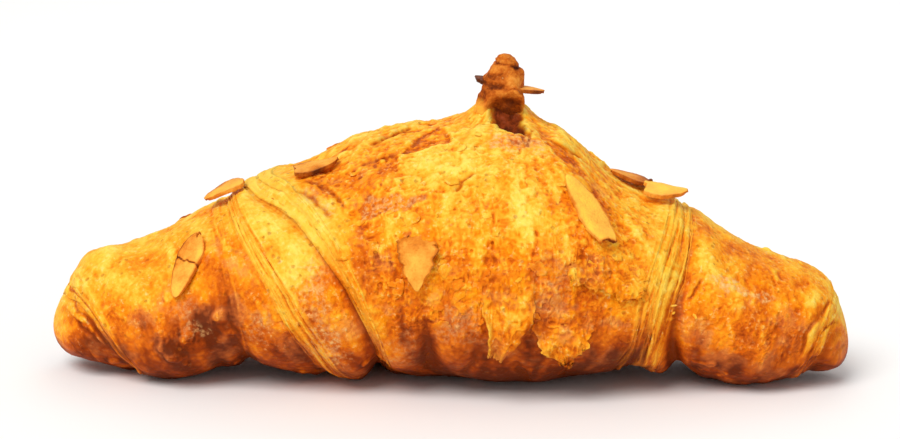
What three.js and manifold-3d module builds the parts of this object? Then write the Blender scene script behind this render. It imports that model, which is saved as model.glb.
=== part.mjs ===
// An almond croissant: a rolled and baked laminated dough, a tail of toasted almond paste
// that stands out of its ridge, and the almond slices that stuck to the glaze.
// Millimetres, +Z up. The roll lies along X, its shown side faces -Y, and it rests on z = 0.

import * as THREE from "three";
import { mergeVertices } from "three/addons/utils/BufferGeometryUtils.js";
import Module from "manifold-3d";

const wasm = await Module();
wasm.setup();

// Driving dimensions
const LENGTH = 170;
const CLEARANCE = 0.3; // air between pieces that touch
const SPINE_SHIFT = 0.57; // brings the middle of the depth to y = 0

// The roll at a few places along its length, before the ends are rounded off:
// ridge and under are heights, depth is front to back, forward is the bend towards the shown side.
const STATIONS = [
  { x: -85, ridge: 19.2, under: 1.6, depth: 20, forward: 3 },
  { x: -76, ridge: 24.4, under: 2, depth: 27, forward: 4 },
  { x: -62, ridge: 29.8, under: -1, depth: 37.5, forward: 5 },
  { x: -45, ridge: 38.8, under: 1.7, depth: 51.5, forward: 3.8 },
  { x: -20, ridge: 48.6, under: -1, depth: 67, forward: 1 },
  { x: 6, ridge: 54.6, under: -1, depth: 76, forward: 0 },
  { x: 20, ridge: 54, under: -1, depth: 75, forward: 1.5 },
  { x: 36, ridge: 42.6, under: 1.2, depth: 60, forward: 5 },
  { x: 52, ridge: 35.4, under: 1, depth: 46, forward: 9 },
  { x: 64, ridge: 28.6, under: -1.3, depth: 37, forward: 11 },
  { x: 78, ridge: 23.2, under: 1.8, depth: 26, forward: 12 },
  { x: 85, ridge: 14, under: 1.2, depth: 16, forward: 12 },
];
const END_ROUNDING = { left: 9, right: 6.5 };
const SHOULDER = { upper: 1, lower: 0.88 }; // under 1 squares the section off towards the floor

// Where the cut edge of one turn of dough lies on the turn below it, its stacked layers show.
// A line across the roll is at x = top on the ridge, moves by sweep on its way to the floor, and
// by hook just above the floor: [top, sweep, power of the sweep, hook]. Each edge runs from its
// outer line to its inner one, which is nearer the middle of the roll.
const EDGES = [
  { outer: [-82.5, 17, 1, 0], inner: [-79.5, 17.5, 1, 0], layers: 2, step: 1.6, groove: 0.6 },
  { outer: [-50, 8, 0.5, 0], inner: [-48.5, 8.5, 0.5, 0], layers: 1, step: 1.6, groove: 2 },
  { outer: [-47, 20, 1, 0], inner: [-44.5, 20.5, 1, 0], layers: 1, step: 1.3, groove: 0.6 },
  { outer: [-43, 29, 0.5, 0], inner: [-37, 25, 0.5, 0], layers: 3, step: 1.7, groove: 2.4 },
  { outer: [51.5, -9.5, 0.8, 7], inner: [47, -12.5, 0.6, 0], layers: 4, step: 1.6, groove: 2.4 },
  { outer: [83, -8, 1, 0], inner: [80.5, -9.5, 1, 0], layers: 2, step: 1.4, groove: 0.6 },
];
const RIDGE_EASE = 0.05; // rounds a line where it passes over the ridge
const LAYER_LIP = 0.35;
const STEP_FADE = 9; // a step dies out over this distance
const STEP_EASE = 0.6; // share of a step that is pressed flat underneath
const GROOVE = { width: 2.2, ridge: 0.15, under: 1.1 }; // shares of its depth on top and underneath

// Broad unevenness of the dough: height, waves in a millimetre, waves round the roll, phase
const LUMPS = [
  { height: 0.4, along: 0.19, round: 2, phase: 1.2 },
  { height: 0.25, along: 0.31, round: 3, phase: 2.1 },
  { height: 0.2, along: 0.47, round: 5, phase: 4 },
];

// The crust is drawn up in a collar round the paste.
const COLLAR = { x: 11, y: -0.9, height: 5.8, width: 5.8 };

// The paste is squeezed out of the ridge in a blunt tail. foot and top are heights, radius is at
// the foot, and the tail narrows by taper on its way up.
const TAIL = { x: 11.4, y: -2.4, foot: 48, top: 68, radius: 5.6, taper: 0.38, blunt: 0.3 };
// Folds in the tail: depth, waves round it, waves in a millimetre up it, phase
const TAIL_FOLDS = [
  { depth: 0.3, round: 2, up: 0.9, phase: 0.5 },
  { depth: 0.25, round: 3, up: 1.5, phase: 2 },
  { depth: 0.15, round: 5, up: 0.7, phase: 4 },
];
// On the shown side a lump of it hangs over a hollow.
const TAIL_LUMP = { x: 13, y: -5.8, z: 59.6, r: 2.8 };
const TAIL_HOLLOW = { x: 12.6, y: -9.8, z: 55, r: 4 };

// Torn flakes of the outer layer that lift off the crust, with a ragged lower edge.
// x and angle are the middle of the upper edge, width and drop its size down the side.
const FLAKES = [
  { x: 12, angle: 12, width: 9, drop: 18, lift: 1.2, ragged: 0.2 },
  { x: 23.5, angle: -6, width: 13, drop: 13, lift: 1.1, ragged: 0.5 },
  { x: 34.5, angle: 21, width: 8, drop: 7, lift: 0.9, ragged: 0.2 },
  { x: -5, angle: 92, width: 12, drop: 7, lift: 1, ragged: 0.3 },
  { x: 25, angle: 84, width: 11, drop: 6, lift: 1, ragged: 0.3 },
];
const FLAKE = { thick: 0.7, sunk: 1.2, narrowing: 0.25, droop: 0.5, rise: 0.7 };

// Almond slices on the crust: angle is 0 at the shown side's middle height, 90 on the ridge and
// 180 at the back. turn is the heading of the slice's tip, pitch raises that tip, curl bends both
// ends down and cut is the share broken off the blunt end.
const SLICES = [
  { x: -53.5, angle: 35, turn: 239, pitch: 0, length: 15, width: 5, curl: 0.6, cut: 0 },
  { x: -46.5, angle: 82, turn: 188, pitch: 8, length: 13, width: 7, curl: 0.5, cut: 0.1 },
  { x: -28.5, angle: 71, turn: 4, pitch: 0, length: 12, width: 5.2, curl: -0.2, cut: 0.2 },
  { x: -6, angle: 13, turn: 264, pitch: 0, length: 14.5, width: 7, curl: 0.7, cut: 0.15 },
  { x: 28.3, angle: 37.5, turn: 134, pitch: 0, length: 18, width: 5, curl: 0.7, cut: 0.15 },
  { x: 38.4, angle: 88, turn: 175, pitch: -5, length: 9.5, width: 5.5, curl: -0.15, cut: 0 },
  { x: 44.1, angle: 78, turn: 6, pitch: 13, length: 11.5, width: 6, curl: -0.4, cut: 0.2 },
  { x: -22, angle: 135, turn: 60, pitch: 0, length: 16, width: 6, curl: 0.8, cut: 0.1 },
  { x: 24, angle: 150, turn: 110, pitch: 0, length: 17, width: 5.4, curl: 0.8, cut: 0 },
  { x: -56, angle: 140, turn: 35, pitch: 0, length: 14, width: 6, curl: 0.6, cut: 0.2 },
  { x: 58, angle: 145, turn: 150, pitch: 0, length: 14, width: 5.2, curl: 0.6, cut: 0 },
];
// Slices that stand in the paste: place of the middle, heading and tilt
const PASTE_SLICES = [
  { x: 16, y: -2.4, z: 60.3, heading: 0, tilt: -6, length: 9, width: 5, curl: 0, cut: 0 },
  { x: 8, y: -0.9, z: 62, heading: 155, tilt: 14, length: 5, width: 4, curl: 0, cut: 0 },
];
// An almond's outline: fullness of its sides, lean of its widest place, least half width
const ALMOND = { thick: 1, fullness: 0.62, lean: 0.8, tip: 0.35, ripple: 0.15 };
const SETTLE_STEP = 0.1;

// How finely the solids are faceted
const AROUND = 54;
const SPAN_ROWS = [5, 4, 7, 2, 2, 2, 3, 6, 15, 8, 8, 4, 5];
const FLAKE_GRID = { across: 7, down: 4 };
const SLICE_GRID = { long: 10, wide: 4 };
const TAIL_GRID = { around: 28, up: 22 };
const LUMP_DETAIL = 3;

const COLOURS = { crust: 0xd98a2b, paste: 0x8f4a17, almond: 0xe2a856 };

const clamp = THREE.MathUtils.clamp;
const lerp = THREE.MathUtils.lerp;
const radians = THREE.MathUtils.degToRad;
const sum = (values) => values.reduce((a, b) => a + b, 0);

// A fixed sequence of numbers from 0 to 1, so that ragged edges are the same on every run.
function seededDraw(seed) {
  let state = seed;
  return () => {
    state = (state * 16807) % 2147483647;
    return state / 2147483647;
  };
}

// A station's value at x on a smooth curve through all of them.
function alongRoll(key, x) {
  const last = STATIONS.length - 1;
  let i = 0;
  while (i < last - 1 && x > STATIONS[i + 1].x) i++;
  const slope = (k) => {
    const before = STATIONS[Math.max(k - 1, 0)];
    const after = STATIONS[Math.min(k + 1, last)];
    return (after[key] - before[key]) / (after.x - before.x);
  };
  const a = STATIONS[i];
  const b = STATIONS[i + 1];
  const span = b.x - a.x;
  const t = clamp((x - a.x) / span, 0, 1);
  const rise = t * t * (3 - 2 * t);
  const leave = t * (1 - t) * (1 - t) * span;
  const arrive = t * t * (t - 1) * span;
  return a[key] * (1 - rise) + b[key] * rise + slope(i) * leave + slope(i + 1) * arrive;
}

// 1 along the roll, falling to 0 on a round curve at either end.
function endRounding(x) {
  const size = x < 0 ? END_ROUNDING.left : END_ROUNDING.right;
  const past = clamp((Math.abs(x) - (LENGTH / 2 - size)) / size, 0, 1);
  return Math.sqrt(1 - past * past);
}

// 0 on the ridge, 0.5 half way down a side and 1 underneath.
function lowness(angle) {
  return (1 - Math.sin(angle)) / 2;
}

// x of a line across the roll at an angle round it.
function lineX([top, sweep, power, hook], angle) {
  const low = lowness(angle);
  const from = RIDGE_EASE ** power;
  const way = ((low + RIDGE_EASE) ** power - from) / ((1 + RIDGE_EASE) ** power - from);
  return top + sweep * way + hook * low ** 4;
}

// The stacked layers of one edge: below 0 on the lower turn, up in steps to above 0 on the upper.
function edgeRelief(edge, x, angle) {
  const outer = lineX(edge.outer, angle);
  const inner = lineX(edge.inner, angle);
  const side = Math.sign(inner - outer);
  const t = (x - outer) / (inner - outer);
  const inside = clamp(t, 0, 1) * edge.layers;
  const layer = Math.min(Math.floor(inside), edge.layers - 1);
  const stair = (layer + Math.min(2 * (inside - layer), 1)) / edge.layers;
  const away = Math.max((outer - x) * side, (x - inner) * side, 0);
  const lip = t > 0 && t < 1 ? LAYER_LIP * Math.sin(Math.PI * inside) ** 2 : 0;
  const low = lowness(angle);
  const step = edge.step * (1 - STEP_EASE * low) * Math.exp(-away / STEP_FADE);
  const depth = edge.groove * (GROOVE.ridge + GROOVE.under * low * low);
  const groove = depth * Math.exp(-(((x - outer) / GROOVE.width) ** 2));
  return step * (stair - 0.5) + lip - groove;
}

function lumpRelief(x, angle) {
  return sum(LUMPS.map((l) => l.height * Math.sin(l.along * x + l.round * angle + l.phase)));
}

// A point of the crust at x and an angle round the roll, raised by lift.
function crustPoint(x, angle, lift = 0) {
  const round = endRounding(x);
  const ridge = alongRoll("ridge", x);
  const under = alongRoll("under", x);
  const tall = ((ridge - under) / 2) * round;
  const deep = (alongRoll("depth", x) / 2) * round;
  const c = Math.cos(angle);
  const s = Math.sin(angle);
  const squared = s < 0 ? SHOULDER.lower : SHOULDER.upper;
  const y = SPINE_SHIFT - alongRoll("forward", x) - deep * Math.sign(c) * Math.abs(c) ** squared;
  const z = (ridge + under) / 2 + tall * Math.sign(s) * Math.abs(s) ** squared;
  const out = new THREE.Vector2(-c * Math.max(tall, 1), s * Math.max(deep, 1)).normalize();
  const near = ((x - COLLAR.x) ** 2 + (y - COLLAR.y) ** 2) / COLLAR.width ** 2;
  const collar = s > 0 ? COLLAR.height * Math.exp(-near) : 0;
  const edges = sum(EDGES.map((edge) => edgeRelief(edge, x, angle)));
  const raised = (lumpRelief(x, angle) + edges + collar) * round + lift;
  return new THREE.Vector3(x, y + out.x * raised, Math.max(z + out.y * raised, 0));
}

// The crust's outward direction, with the tangents along the roll and up the shown side, as a
// stiff piece of the given reach to each side would find them.
function crustFrame(x, angle, reach) {
  const turn = reach / alongRoll("ridge", x);
  const along = crustPoint(x + reach, angle).sub(crustPoint(x - reach, angle)).normalize();
  const up = crustPoint(x, angle + turn).sub(crustPoint(x, angle - turn)).normalize();
  const out = new THREE.Vector3().crossVectors(along, up).normalize();
  return { along, up: new THREE.Vector3().crossVectors(out, along), out };
}

// x at a share of the way along the roll, so that rows of facets follow the edges of the dough.
function rowX(share, angle) {
  const lines = EDGES.flatMap((e) => [lineX(e.outer, angle), lineX(e.inner, angle)]);
  lines.sort((a, b) => a - b);
  const stops = [-LENGTH / 2, ...lines, LENGTH / 2];
  const last = SPAN_ROWS.length - 1;
  let row = share * sum(SPAN_ROWS);
  let span = 0;
  while (span < last && row > SPAN_ROWS[span]) row -= SPAN_ROWS[span++];
  const t = clamp(row / SPAN_ROWS[span], 0, 1);
  let eased = t;
  if (span === 0) eased = 1 - Math.cos((t * Math.PI) / 2);
  if (span === last) eased = Math.sin((t * Math.PI) / 2);
  return lerp(stops[span], stops[span + 1], eased);
}

function solidOf(geometry) {
  geometry.deleteAttribute("normal");
  geometry.deleteAttribute("uv");
  const merged = mergeVertices(geometry, 1e-3);
  const vertProperties = new Float32Array(merged.attributes.position.array);
  const triVerts = new Uint32Array(merged.index.array);
  return new wasm.Manifold(new wasm.Mesh({ numProp: 3, vertProperties, triVerts }));
}

function geometryOf(solid) {
  const mesh = solid.getMesh();
  const geometry = new THREE.BufferGeometry();
  geometry.setAttribute("position", new THREE.BufferAttribute(mesh.vertProperties, 3));
  geometry.setIndex(new THREE.BufferAttribute(mesh.triVerts, 1));
  geometry.computeVertexNormals();
  return geometry;
}

// Moves each vertex of a geometry to where place puts it.
function shaped(geometry, place) {
  const position = geometry.attributes.position;
  const from = new THREE.Vector3();
  for (let i = 0; i < position.count; i++) {
    from.fromBufferAttribute(position, i);
    position.setXYZ(i, ...place(from).toArray());
  }
  return geometry;
}

// The baked roll alone, swollen by lift.
function rollSolid(lift = 0) {
  const ball = new THREE.SphereGeometry(1, AROUND, sum(SPAN_ROWS));
  const place = (from) => {
    const share = 1 - Math.acos(clamp(from.y, -1, 1)) / Math.PI;
    const angle = (3 * Math.PI) / 2 - Math.atan2(from.z, -from.x);
    const atEnd = Math.abs(from.y) > 1 - 1e-6;
    if (atEnd) return crustPoint(Math.sign(from.y) * (LENGTH / 2), 0);
    return crustPoint(rowX(share, angle), angle, lift);
  };
  return solidOf(shaped(ball, place));
}

// A torn flake: sunk in the crust along its upper edge, lifted and ragged along its lower edge.
function flakeSolid(flake, seed) {
  const draw = seededDraw(seed);
  const { across, down } = FLAKE_GRID;
  const shorter = Array.from({ length: across + 1 }, () => 1 - flake.ragged * draw());
  const reach = alongRoll("ridge", flake.x) / 2;
  const strip = new THREE.BoxGeometry(1, 1, 1, across, down, 1);
  const place = (from) => {
    const side = from.x * 2;
    const far = 0.5 - from.y;
    const column = Math.round((from.x + 0.5) * across);
    const half = (flake.width / 2) * (1 - FLAKE.narrowing * far * far);
    const angle = radians(flake.angle) - (far * flake.drop * shorter[column]) / reach;
    const base = lerp(-FLAKE.sunk, flake.lift, far ** FLAKE.rise) - FLAKE.droop * Math.abs(side) ** 3;
    return crustPoint(flake.x + side * half, angle, base + (from.z + 0.5) * FLAKE.thick);
  };
  return solidOf(shaped(strip, place));
}

// A flat almond slice along X with its blunt end at -X, curled like a shaving and swollen by swell.
function sliceGeometry({ length, width, curl, cut }, swell = 0) {
  const slab = new THREE.BoxGeometry(1, 1, 1, SLICE_GRID.long, SLICE_GRID.wide, 1);
  const place = (from) => {
    const t = lerp(cut, 1, from.x + 0.5);
    const belly = Math.sin(Math.PI * t ** ALMOND.lean) ** ALMOND.fullness;
    const half = (width / 2) * belly + ALMOND.tip + swell;
    const x = (t - 0.5) * length + 2 * from.x * swell;
    const y = from.y * 2 * half;
    const ripple = ALMOND.ripple * Math.sin(3 * t * Math.PI + y / 2);
    const bend = curl * (ripple - ((2 * x) / length) ** 2);
    return new THREE.Vector3(x, y, bend + from.z * (ALMOND.thick + 2 * swell));
  };
  return shaped(slab, place);
}

// A slice on the crust, raised in small steps until it no longer touches the swollen crust.
function restingSlice(slice, swollenCrust) {
  const angle = radians(slice.angle);
  const { along, up, out } = crustFrame(slice.x, angle, slice.length / 2);
  const matrix = new THREE.Matrix4().makeBasis(along, up, out);
  matrix.multiply(new THREE.Matrix4().makeRotationZ(radians(slice.turn)));
  matrix.multiply(new THREE.Matrix4().makeRotationY(radians(-slice.pitch)));
  matrix.setPosition(crustPoint(slice.x, angle));
  const solid = solidOf(sliceGeometry(slice).applyMatrix4(matrix));
  let raise = 0;
  let lifted = solid;
  while (lifted.intersect(swollenCrust).volume() > 0) {
    raise += SETTLE_STEP;
    lifted = solid.translate(out.clone().multiplyScalar(raise).toArray());
  }
  return lifted;
}

function standingSlice(slice, swell = 0) {
  const matrix = new THREE.Matrix4().makeRotationZ(radians(slice.heading));
  matrix.multiply(new THREE.Matrix4().makeRotationY(radians(-slice.tilt)));
  matrix.setPosition(slice.x, slice.y, slice.z);
  return solidOf(sliceGeometry(slice, swell).applyMatrix4(matrix));
}

// The tail of paste alone, folded all over.
function tailSolid() {
  const ball = new THREE.SphereGeometry(1, TAIL_GRID.around, TAIL_GRID.up);
  const place = (from) => {
    const t = (1 + from.y) / 2;
    const z = lerp(TAIL.foot, TAIL.top, t);
    const around = Math.atan2(from.z, from.x);
    const one = (f) => f.depth * Math.sin(f.up * z + f.phase) * Math.cos(f.round * around + f.phase);
    const end = Math.max(1 - from.y * from.y, 0) ** TAIL.blunt;
    const r = (TAIL.radius * (1 - TAIL.taper * t) + sum(TAIL_FOLDS.map(one))) * end;
    return new THREE.Vector3(TAIL.x + r * Math.cos(around), TAIL.y - r * Math.sin(around), z);
  };
  return solidOf(shaped(ball, place));
}

function ballSolid({ x, y, z, r }) {
  return solidOf(new THREE.IcosahedronGeometry(r, LUMP_DETAIL).translate(x, y, z));
}

// The paste: its tail with the lump and the hollow, cut to the crust and slotted for its slices.
function pasteSolid(swollenCrust) {
  const tail = tailSolid().subtract(ballSolid(TAIL_HOLLOW)).add(ballSolid(TAIL_LUMP));
  const knob = tail.subtract(swollenCrust);
  const slotted = PASTE_SLICES.reduce((rest, s) => rest.subtract(standingSlice(s, CLEARANCE)), knob);
  return slotted.decompose().sort((a, b) => b.volume() - a.volume())[0];
}

function meshOf(name, solid, colour, roughness) {
  const material = new THREE.MeshStandardMaterial({ color: colour, roughness, metalness: 0 });
  const mesh = new THREE.Mesh(geometryOf(solid), material);
  mesh.name = name;
  return mesh;
}

const flakes = FLAKES.map((flake, i) => flakeSolid(flake, 11 + 7 * i));
const crust = flakes.reduce((whole, flake) => whole.add(flake), rollSolid());
const swollen = flakes.reduce((whole, flake) => whole.add(flake), rollSolid(CLEARANCE));
const slices = [
  ...SLICES.map((slice) => restingSlice(slice, swollen)),
  ...PASTE_SLICES.map((slice) => standingSlice(slice)),
];

const croissant = new THREE.Group();
croissant.name = "almond_croissant";
croissant.add(meshOf("croissant", crust, COLOURS.crust, 0.45));
croissant.add(meshOf("almond_paste", pasteSolid(swollen), COLOURS.paste, 0.8));
slices.forEach((solid, i) => {
  const name = `almond_slice_${String(i + 1).padStart(2, "0")}`;
  croissant.add(meshOf(name, solid, COLOURS.almond, 0.6));
});

export default croissant;
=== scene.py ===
"""Looks of an almond croissant: flaky crust, torn flakes, toasted paste, almond slices and crumbs."""

import logging
import math
from dataclasses import dataclass, replace
from enum import Enum, IntEnum
from itertools import chain, product
from typing import Mapping, Sequence, Union

import bmesh
import bpy
import numpy as np
from mathutils import Matrix, Vector


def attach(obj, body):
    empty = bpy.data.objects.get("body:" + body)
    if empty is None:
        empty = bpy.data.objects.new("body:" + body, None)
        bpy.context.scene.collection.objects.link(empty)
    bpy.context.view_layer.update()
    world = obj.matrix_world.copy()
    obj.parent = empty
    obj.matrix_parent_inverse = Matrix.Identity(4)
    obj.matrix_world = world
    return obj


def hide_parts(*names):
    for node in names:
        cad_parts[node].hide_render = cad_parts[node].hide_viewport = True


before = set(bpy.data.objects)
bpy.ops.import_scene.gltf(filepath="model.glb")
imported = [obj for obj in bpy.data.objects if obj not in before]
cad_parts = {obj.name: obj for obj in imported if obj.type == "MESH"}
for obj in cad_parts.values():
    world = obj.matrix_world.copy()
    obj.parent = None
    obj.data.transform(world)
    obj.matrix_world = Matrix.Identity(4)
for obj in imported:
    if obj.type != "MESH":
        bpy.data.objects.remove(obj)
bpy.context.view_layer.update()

LOG = logging.getLogger("croissant")
MM = 0.001
BODY = "root"
HALF_HEIGHT = np.array(0.45)
FAR_AWAY = 1e6


class Slot(Enum):
    """Finishes that the record names."""

    CRUST = "crust"
    PASTE = "paste"
    ALMOND = "almond"


class Seed(IntEnum):
    """Seeds of the noise for each form. Flakes, leaves and slices count on from theirs."""

    PULL = 31
    STREAKS = 32
    LUMPS = 33
    BLISTERS = 34
    CLOUDS = 35
    MOTTLE = 36
    WOBBLE = 37
    KNOBS = 41
    DIPS = 42
    CHIPS = 44
    STEPS = 45
    BUMPS = 46
    GRIT = 47
    PITS = 48
    COMB = 49
    FLAKES = 50
    FOLDS = 61
    CRUMBS = 62
    LEAVES = 70
    SLICES = 80


def srgb(red: int, green: int, blue: int) -> tuple[float, float, float, float]:
    """Turns a screen colour, from 0 to 255, into the linear colour that shaders take."""
    parts = [value / 255 for value in (red, green, blue)]
    return (*(p / 12.92 if p <= 0.04045 else ((p + 0.055) / 1.055) ** 2.4 for p in parts), 1.0)


def ramp_stops(*rows: Sequence[float]) -> tuple[tuple[float, tuple[float, ...]], ...]:
    """Makes a colour ramp's stops of rows with a place and a screen colour."""
    return tuple((place, srgb(*colour)) for place, *colour in rows)


def smooth(values: np.ndarray, low: float, high: float) -> np.ndarray:
    """Eases values from 0 at low to 1 at high."""
    t = np.clip((values - low) / (high - low), 0.0, 1.0)
    return t * t * (3.0 - 2.0 * t)


def lowness(angle: np.ndarray) -> np.ndarray:
    """Is 0 on the ridge, 0.5 at half height and 1 on the underside."""
    return (1.0 - np.sin(angle)) / 2.0


def either_side(lines: np.ndarray, span: np.ndarray) -> list[np.ndarray]:
    """Picks the lines before and after each span between them."""
    return [np.take_along_axis(lines, span[..., None] + step, -1)[..., 0] for step in (0, 1)]


class Grain:
    """Seeded smooth noise over points in space."""

    STRIDE = np.array([73856093, 19349663, 83492791])
    SIZE = 8192
    OCTAVE_SHIFT = 17.0

    def __init__(self, seed: int) -> None:
        """Draws the table of heights for one seed."""
        self.heights = np.random.default_rng(seed).uniform(-1.0, 1.0, self.SIZE)

    def at(self, *coordinates: np.ndarray) -> np.ndarray:
        """Reads the noise at points whose grid cells are one unit wide.

        Args:
            coordinates: Up to three arrays of one shape, one for each axis.

        Returns:
            Noise from -1 to 1 in that shape.
        """
        points = np.stack(np.broadcast_arrays(*coordinates), axis=-1)
        cell = np.floor(points).astype(np.int64)
        part = points - cell
        ease = part * part * (3.0 - 2.0 * part)
        total = np.zeros(points.shape[:-1])
        for corner in product((0, 1), repeat=points.shape[-1]):
            ends = np.array(corner)
            weight = np.prod(np.where(ends == 1, ease, 1.0 - ease), axis=-1)
            key = ((cell + ends) * self.STRIDE[: len(corner)]).sum(axis=-1) % self.SIZE
            total += weight * self.heights[key]
        return total

    def layered(self, points: np.ndarray, size: float, octaves: int = 3) -> np.ndarray:
        """Adds octaves of the noise over points in space.

        Args:
            points: Places, with x, y and z on the last axis.
            size: Width of the broadest cell.
            octaves: How many layers, each half as wide and half as high.

        Returns:
            Noise of about -1 to 1.
        """
        total = np.zeros(points.shape[:-1])
        for octave in range(octaves):
            scaled = points * (2.0**octave / size) + self.OCTAVE_SHIFT * octave
            total += self.at(scaled[..., 0], scaled[..., 1], scaled[..., 2]) / 2.0**octave
        return total


@dataclass(frozen=True)
class Station:
    """The roll's section at one place along its length, in millimetres."""

    x: float
    ridge: float
    under: float
    depth: float
    forward: float


@dataclass(frozen=True)
class Places:
    """Places on the roll: x and points in millimetres, angles in radians, lowness, and noise for ragged edges."""

    x: np.ndarray
    angle: np.ndarray
    low: np.ndarray
    base: np.ndarray
    wobble: np.ndarray


@dataclass(frozen=True)
class Line:
    """A line across the roll, at x = top on the ridge, moved by sweep and hook below it and by turn at the foot."""

    top: float
    sweep: float
    power: float = 1.0
    hook: float = 0.0
    ease: float = 0.05
    turn: float = 0.0

    def at(self, low: np.ndarray) -> np.ndarray:
        """Follows the line down the roll.

        Args:
            low: Lowness of places on it.

        Returns:
            The line's x there.
        """
        start = self.ease**self.power
        way = ((low + self.ease) ** self.power - start) / ((1.0 + self.ease) ** self.power - start)
        return self.top + self.sweep * way + self.hook * low**4 + self.turn * low**6


@dataclass(frozen=True)
class Spot:
    """A soft oval place on the crust: its middle, its reach along the roll and round it, its slant."""

    x: float
    angle: float
    long: float
    round: float
    amount: float
    slant: float = 0.0

    def weight(self, at: Places) -> np.ndarray:
        """Falls from 1 in the middle of the place to 0 well outside it."""
        away = (np.degrees(at.angle) - self.angle + 180.0) % 360.0 - 180.0
        return np.exp(-(((at.x - self.x - self.slant * away) / self.long) ** 2) - (away / self.round) ** 2)


def spots(*rows: Sequence[float]) -> tuple[Spot, ...]:
    """Makes a soft place of each row of numbers."""
    return tuple(Spot(*row) for row in rows)


@dataclass
class Skin:
    """The crust at many places: points in millimetres and the values that its finish reads."""

    point: np.ndarray
    relief: np.ndarray
    bake: np.ndarray
    leaf: np.ndarray
    bare: np.ndarray
    shade: np.ndarray
    dark: np.ndarray
    lane: np.ndarray

    def values(self) -> dict[str, np.ndarray]:
        """Names the values that the finish reads."""
        return {name: getattr(self, name) for name in ("bake", "leaf", "bare", "shade", "dark", "lane")}


def unroll(path: Sequence[tuple[float, float]], angle: np.ndarray,
           radius: float) -> tuple[list[tuple[float, float]], np.ndarray]:
    """Lays a path and places round the roll out flat.

    Args:
        path: Points of x and degrees.
        angle: Angles of the places in radians.
        radius: Radius of the roll, in millimetres.

    Returns:
        The path's points and the places' heights over its middle, in millimetres.
    """
    middle = sum(point[1] for point in path) / len(path)
    height = np.radians((np.degrees(angle) - middle + 180.0) % 360.0 - 180.0) * radius
    return [(x, math.radians(degrees - middle) * radius) for x, degrees in path], height


@dataclass(frozen=True)
class Crease:
    """A torn edge or crack along points of x and degrees. The leaf on its left stands up."""

    path: tuple[tuple[float, float], ...]
    lift: float = 0.0
    dip: float = 0.3
    width: float = 0.7
    # How dark the painted shade in the crease is, under the leaf that stands up.
    dark: float = 0.6
    pale: float = 0.0
    fade: float = 3.0

    def cut(self, at: Places, radius: float) -> tuple[np.ndarray, np.ndarray, np.ndarray]:
        """Works out the crease's relief and colour.

        Args:
            at: Places on the roll.
            radius: Radius of the roll at the crease, in millimetres.

        Returns:
            Relief in millimetres, paleness and shade.
        """
        points, height = unroll(self.path, at.angle, radius)
        away = np.full(at.x.shape, FAR_AWAY)
        share = np.zeros(at.x.shape)
        for number, ((ax, ay), (bx, by)) in enumerate(zip(points[:-1], points[1:])):
            way_x, way_y = bx - ax, by - ay
            t = np.clip(((at.x - ax) * way_x + (height - ay) * way_y) / (way_x**2 + way_y**2), 0.0, 1.0)
            off_x, off_y = at.x - ax - t * way_x, height - ay - t * way_y
            side = np.where(way_x * off_y - way_y * off_x >= 0.0, 1.0, -1.0)
            found = side * np.hypot(off_x, off_y)
            closer = np.abs(found) < np.abs(away)
            away = np.where(closer, found, away)
            share = np.where(closer, (number + t) / (len(points) - 1), share)
        away = away + at.wobble
        strength = smooth(share, 0.0, 0.15) * (1.0 - smooth(share, 0.85, 1.0))
        # The crease dips along this line and shade is painted there.
        line = strength * np.exp(-(((away + 0.3 * self.width) / self.width) ** 2))
        raised = strength * smooth(away, -0.2, 0.5) * np.exp(-np.maximum(away, 0.0) / self.fade)
        crest = strength * np.exp(-(((away - self.width) / self.width) ** 2))
        return self.lift * raised - self.dip * line, self.pale * crest, self.dark * line


@dataclass(frozen=True)
class Opening:
    """A place where the outer leaf is torn off: its outline in x and degrees and what shows in it."""

    path: tuple[tuple[float, float], ...]
    depth: float
    bake: float = 0.0
    bare: float = 0.0
    # Darkness of the filling and of the painted shade in the hollow under the paste.
    dark: float = 0.0
    rim: float = 0.2
    # Strength of the painted shade just inside the torn edge.
    line: float = 0.4
    soft: float = 0.0

    def inset(self, at: Places, radius: float) -> np.ndarray:
        """Measures how far places lie inside the ragged outline.

        Args:
            at: Places on the roll.
            radius: Radius of the roll at the opening, in millimetres.

        Returns:
            Distance from the outline in millimetres, below 0 outside it.
        """
        points, height = unroll(self.path, at.angle, radius)
        nearest = np.full(at.x.shape, FAR_AWAY)
        within = np.zeros(at.x.shape, bool)
        for (ax, ay), (bx, by) in zip(points, points[1:] + points[:1]):
            way_x, way_y = bx - ax, by - ay
            t = np.clip(((at.x - ax) * way_x + (height - ay) * way_y) / (way_x**2 + way_y**2), 0.0, 1.0)
            nearest = np.minimum(nearest, np.hypot(at.x - ax - t * way_x, height - ay - t * way_y))
            if way_y:
                within ^= ((ay > height) != (by > height)) & (at.x < ax + (height - ay) * way_x / way_y)
        return np.where(within, nearest, -nearest) + at.wobble


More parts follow.
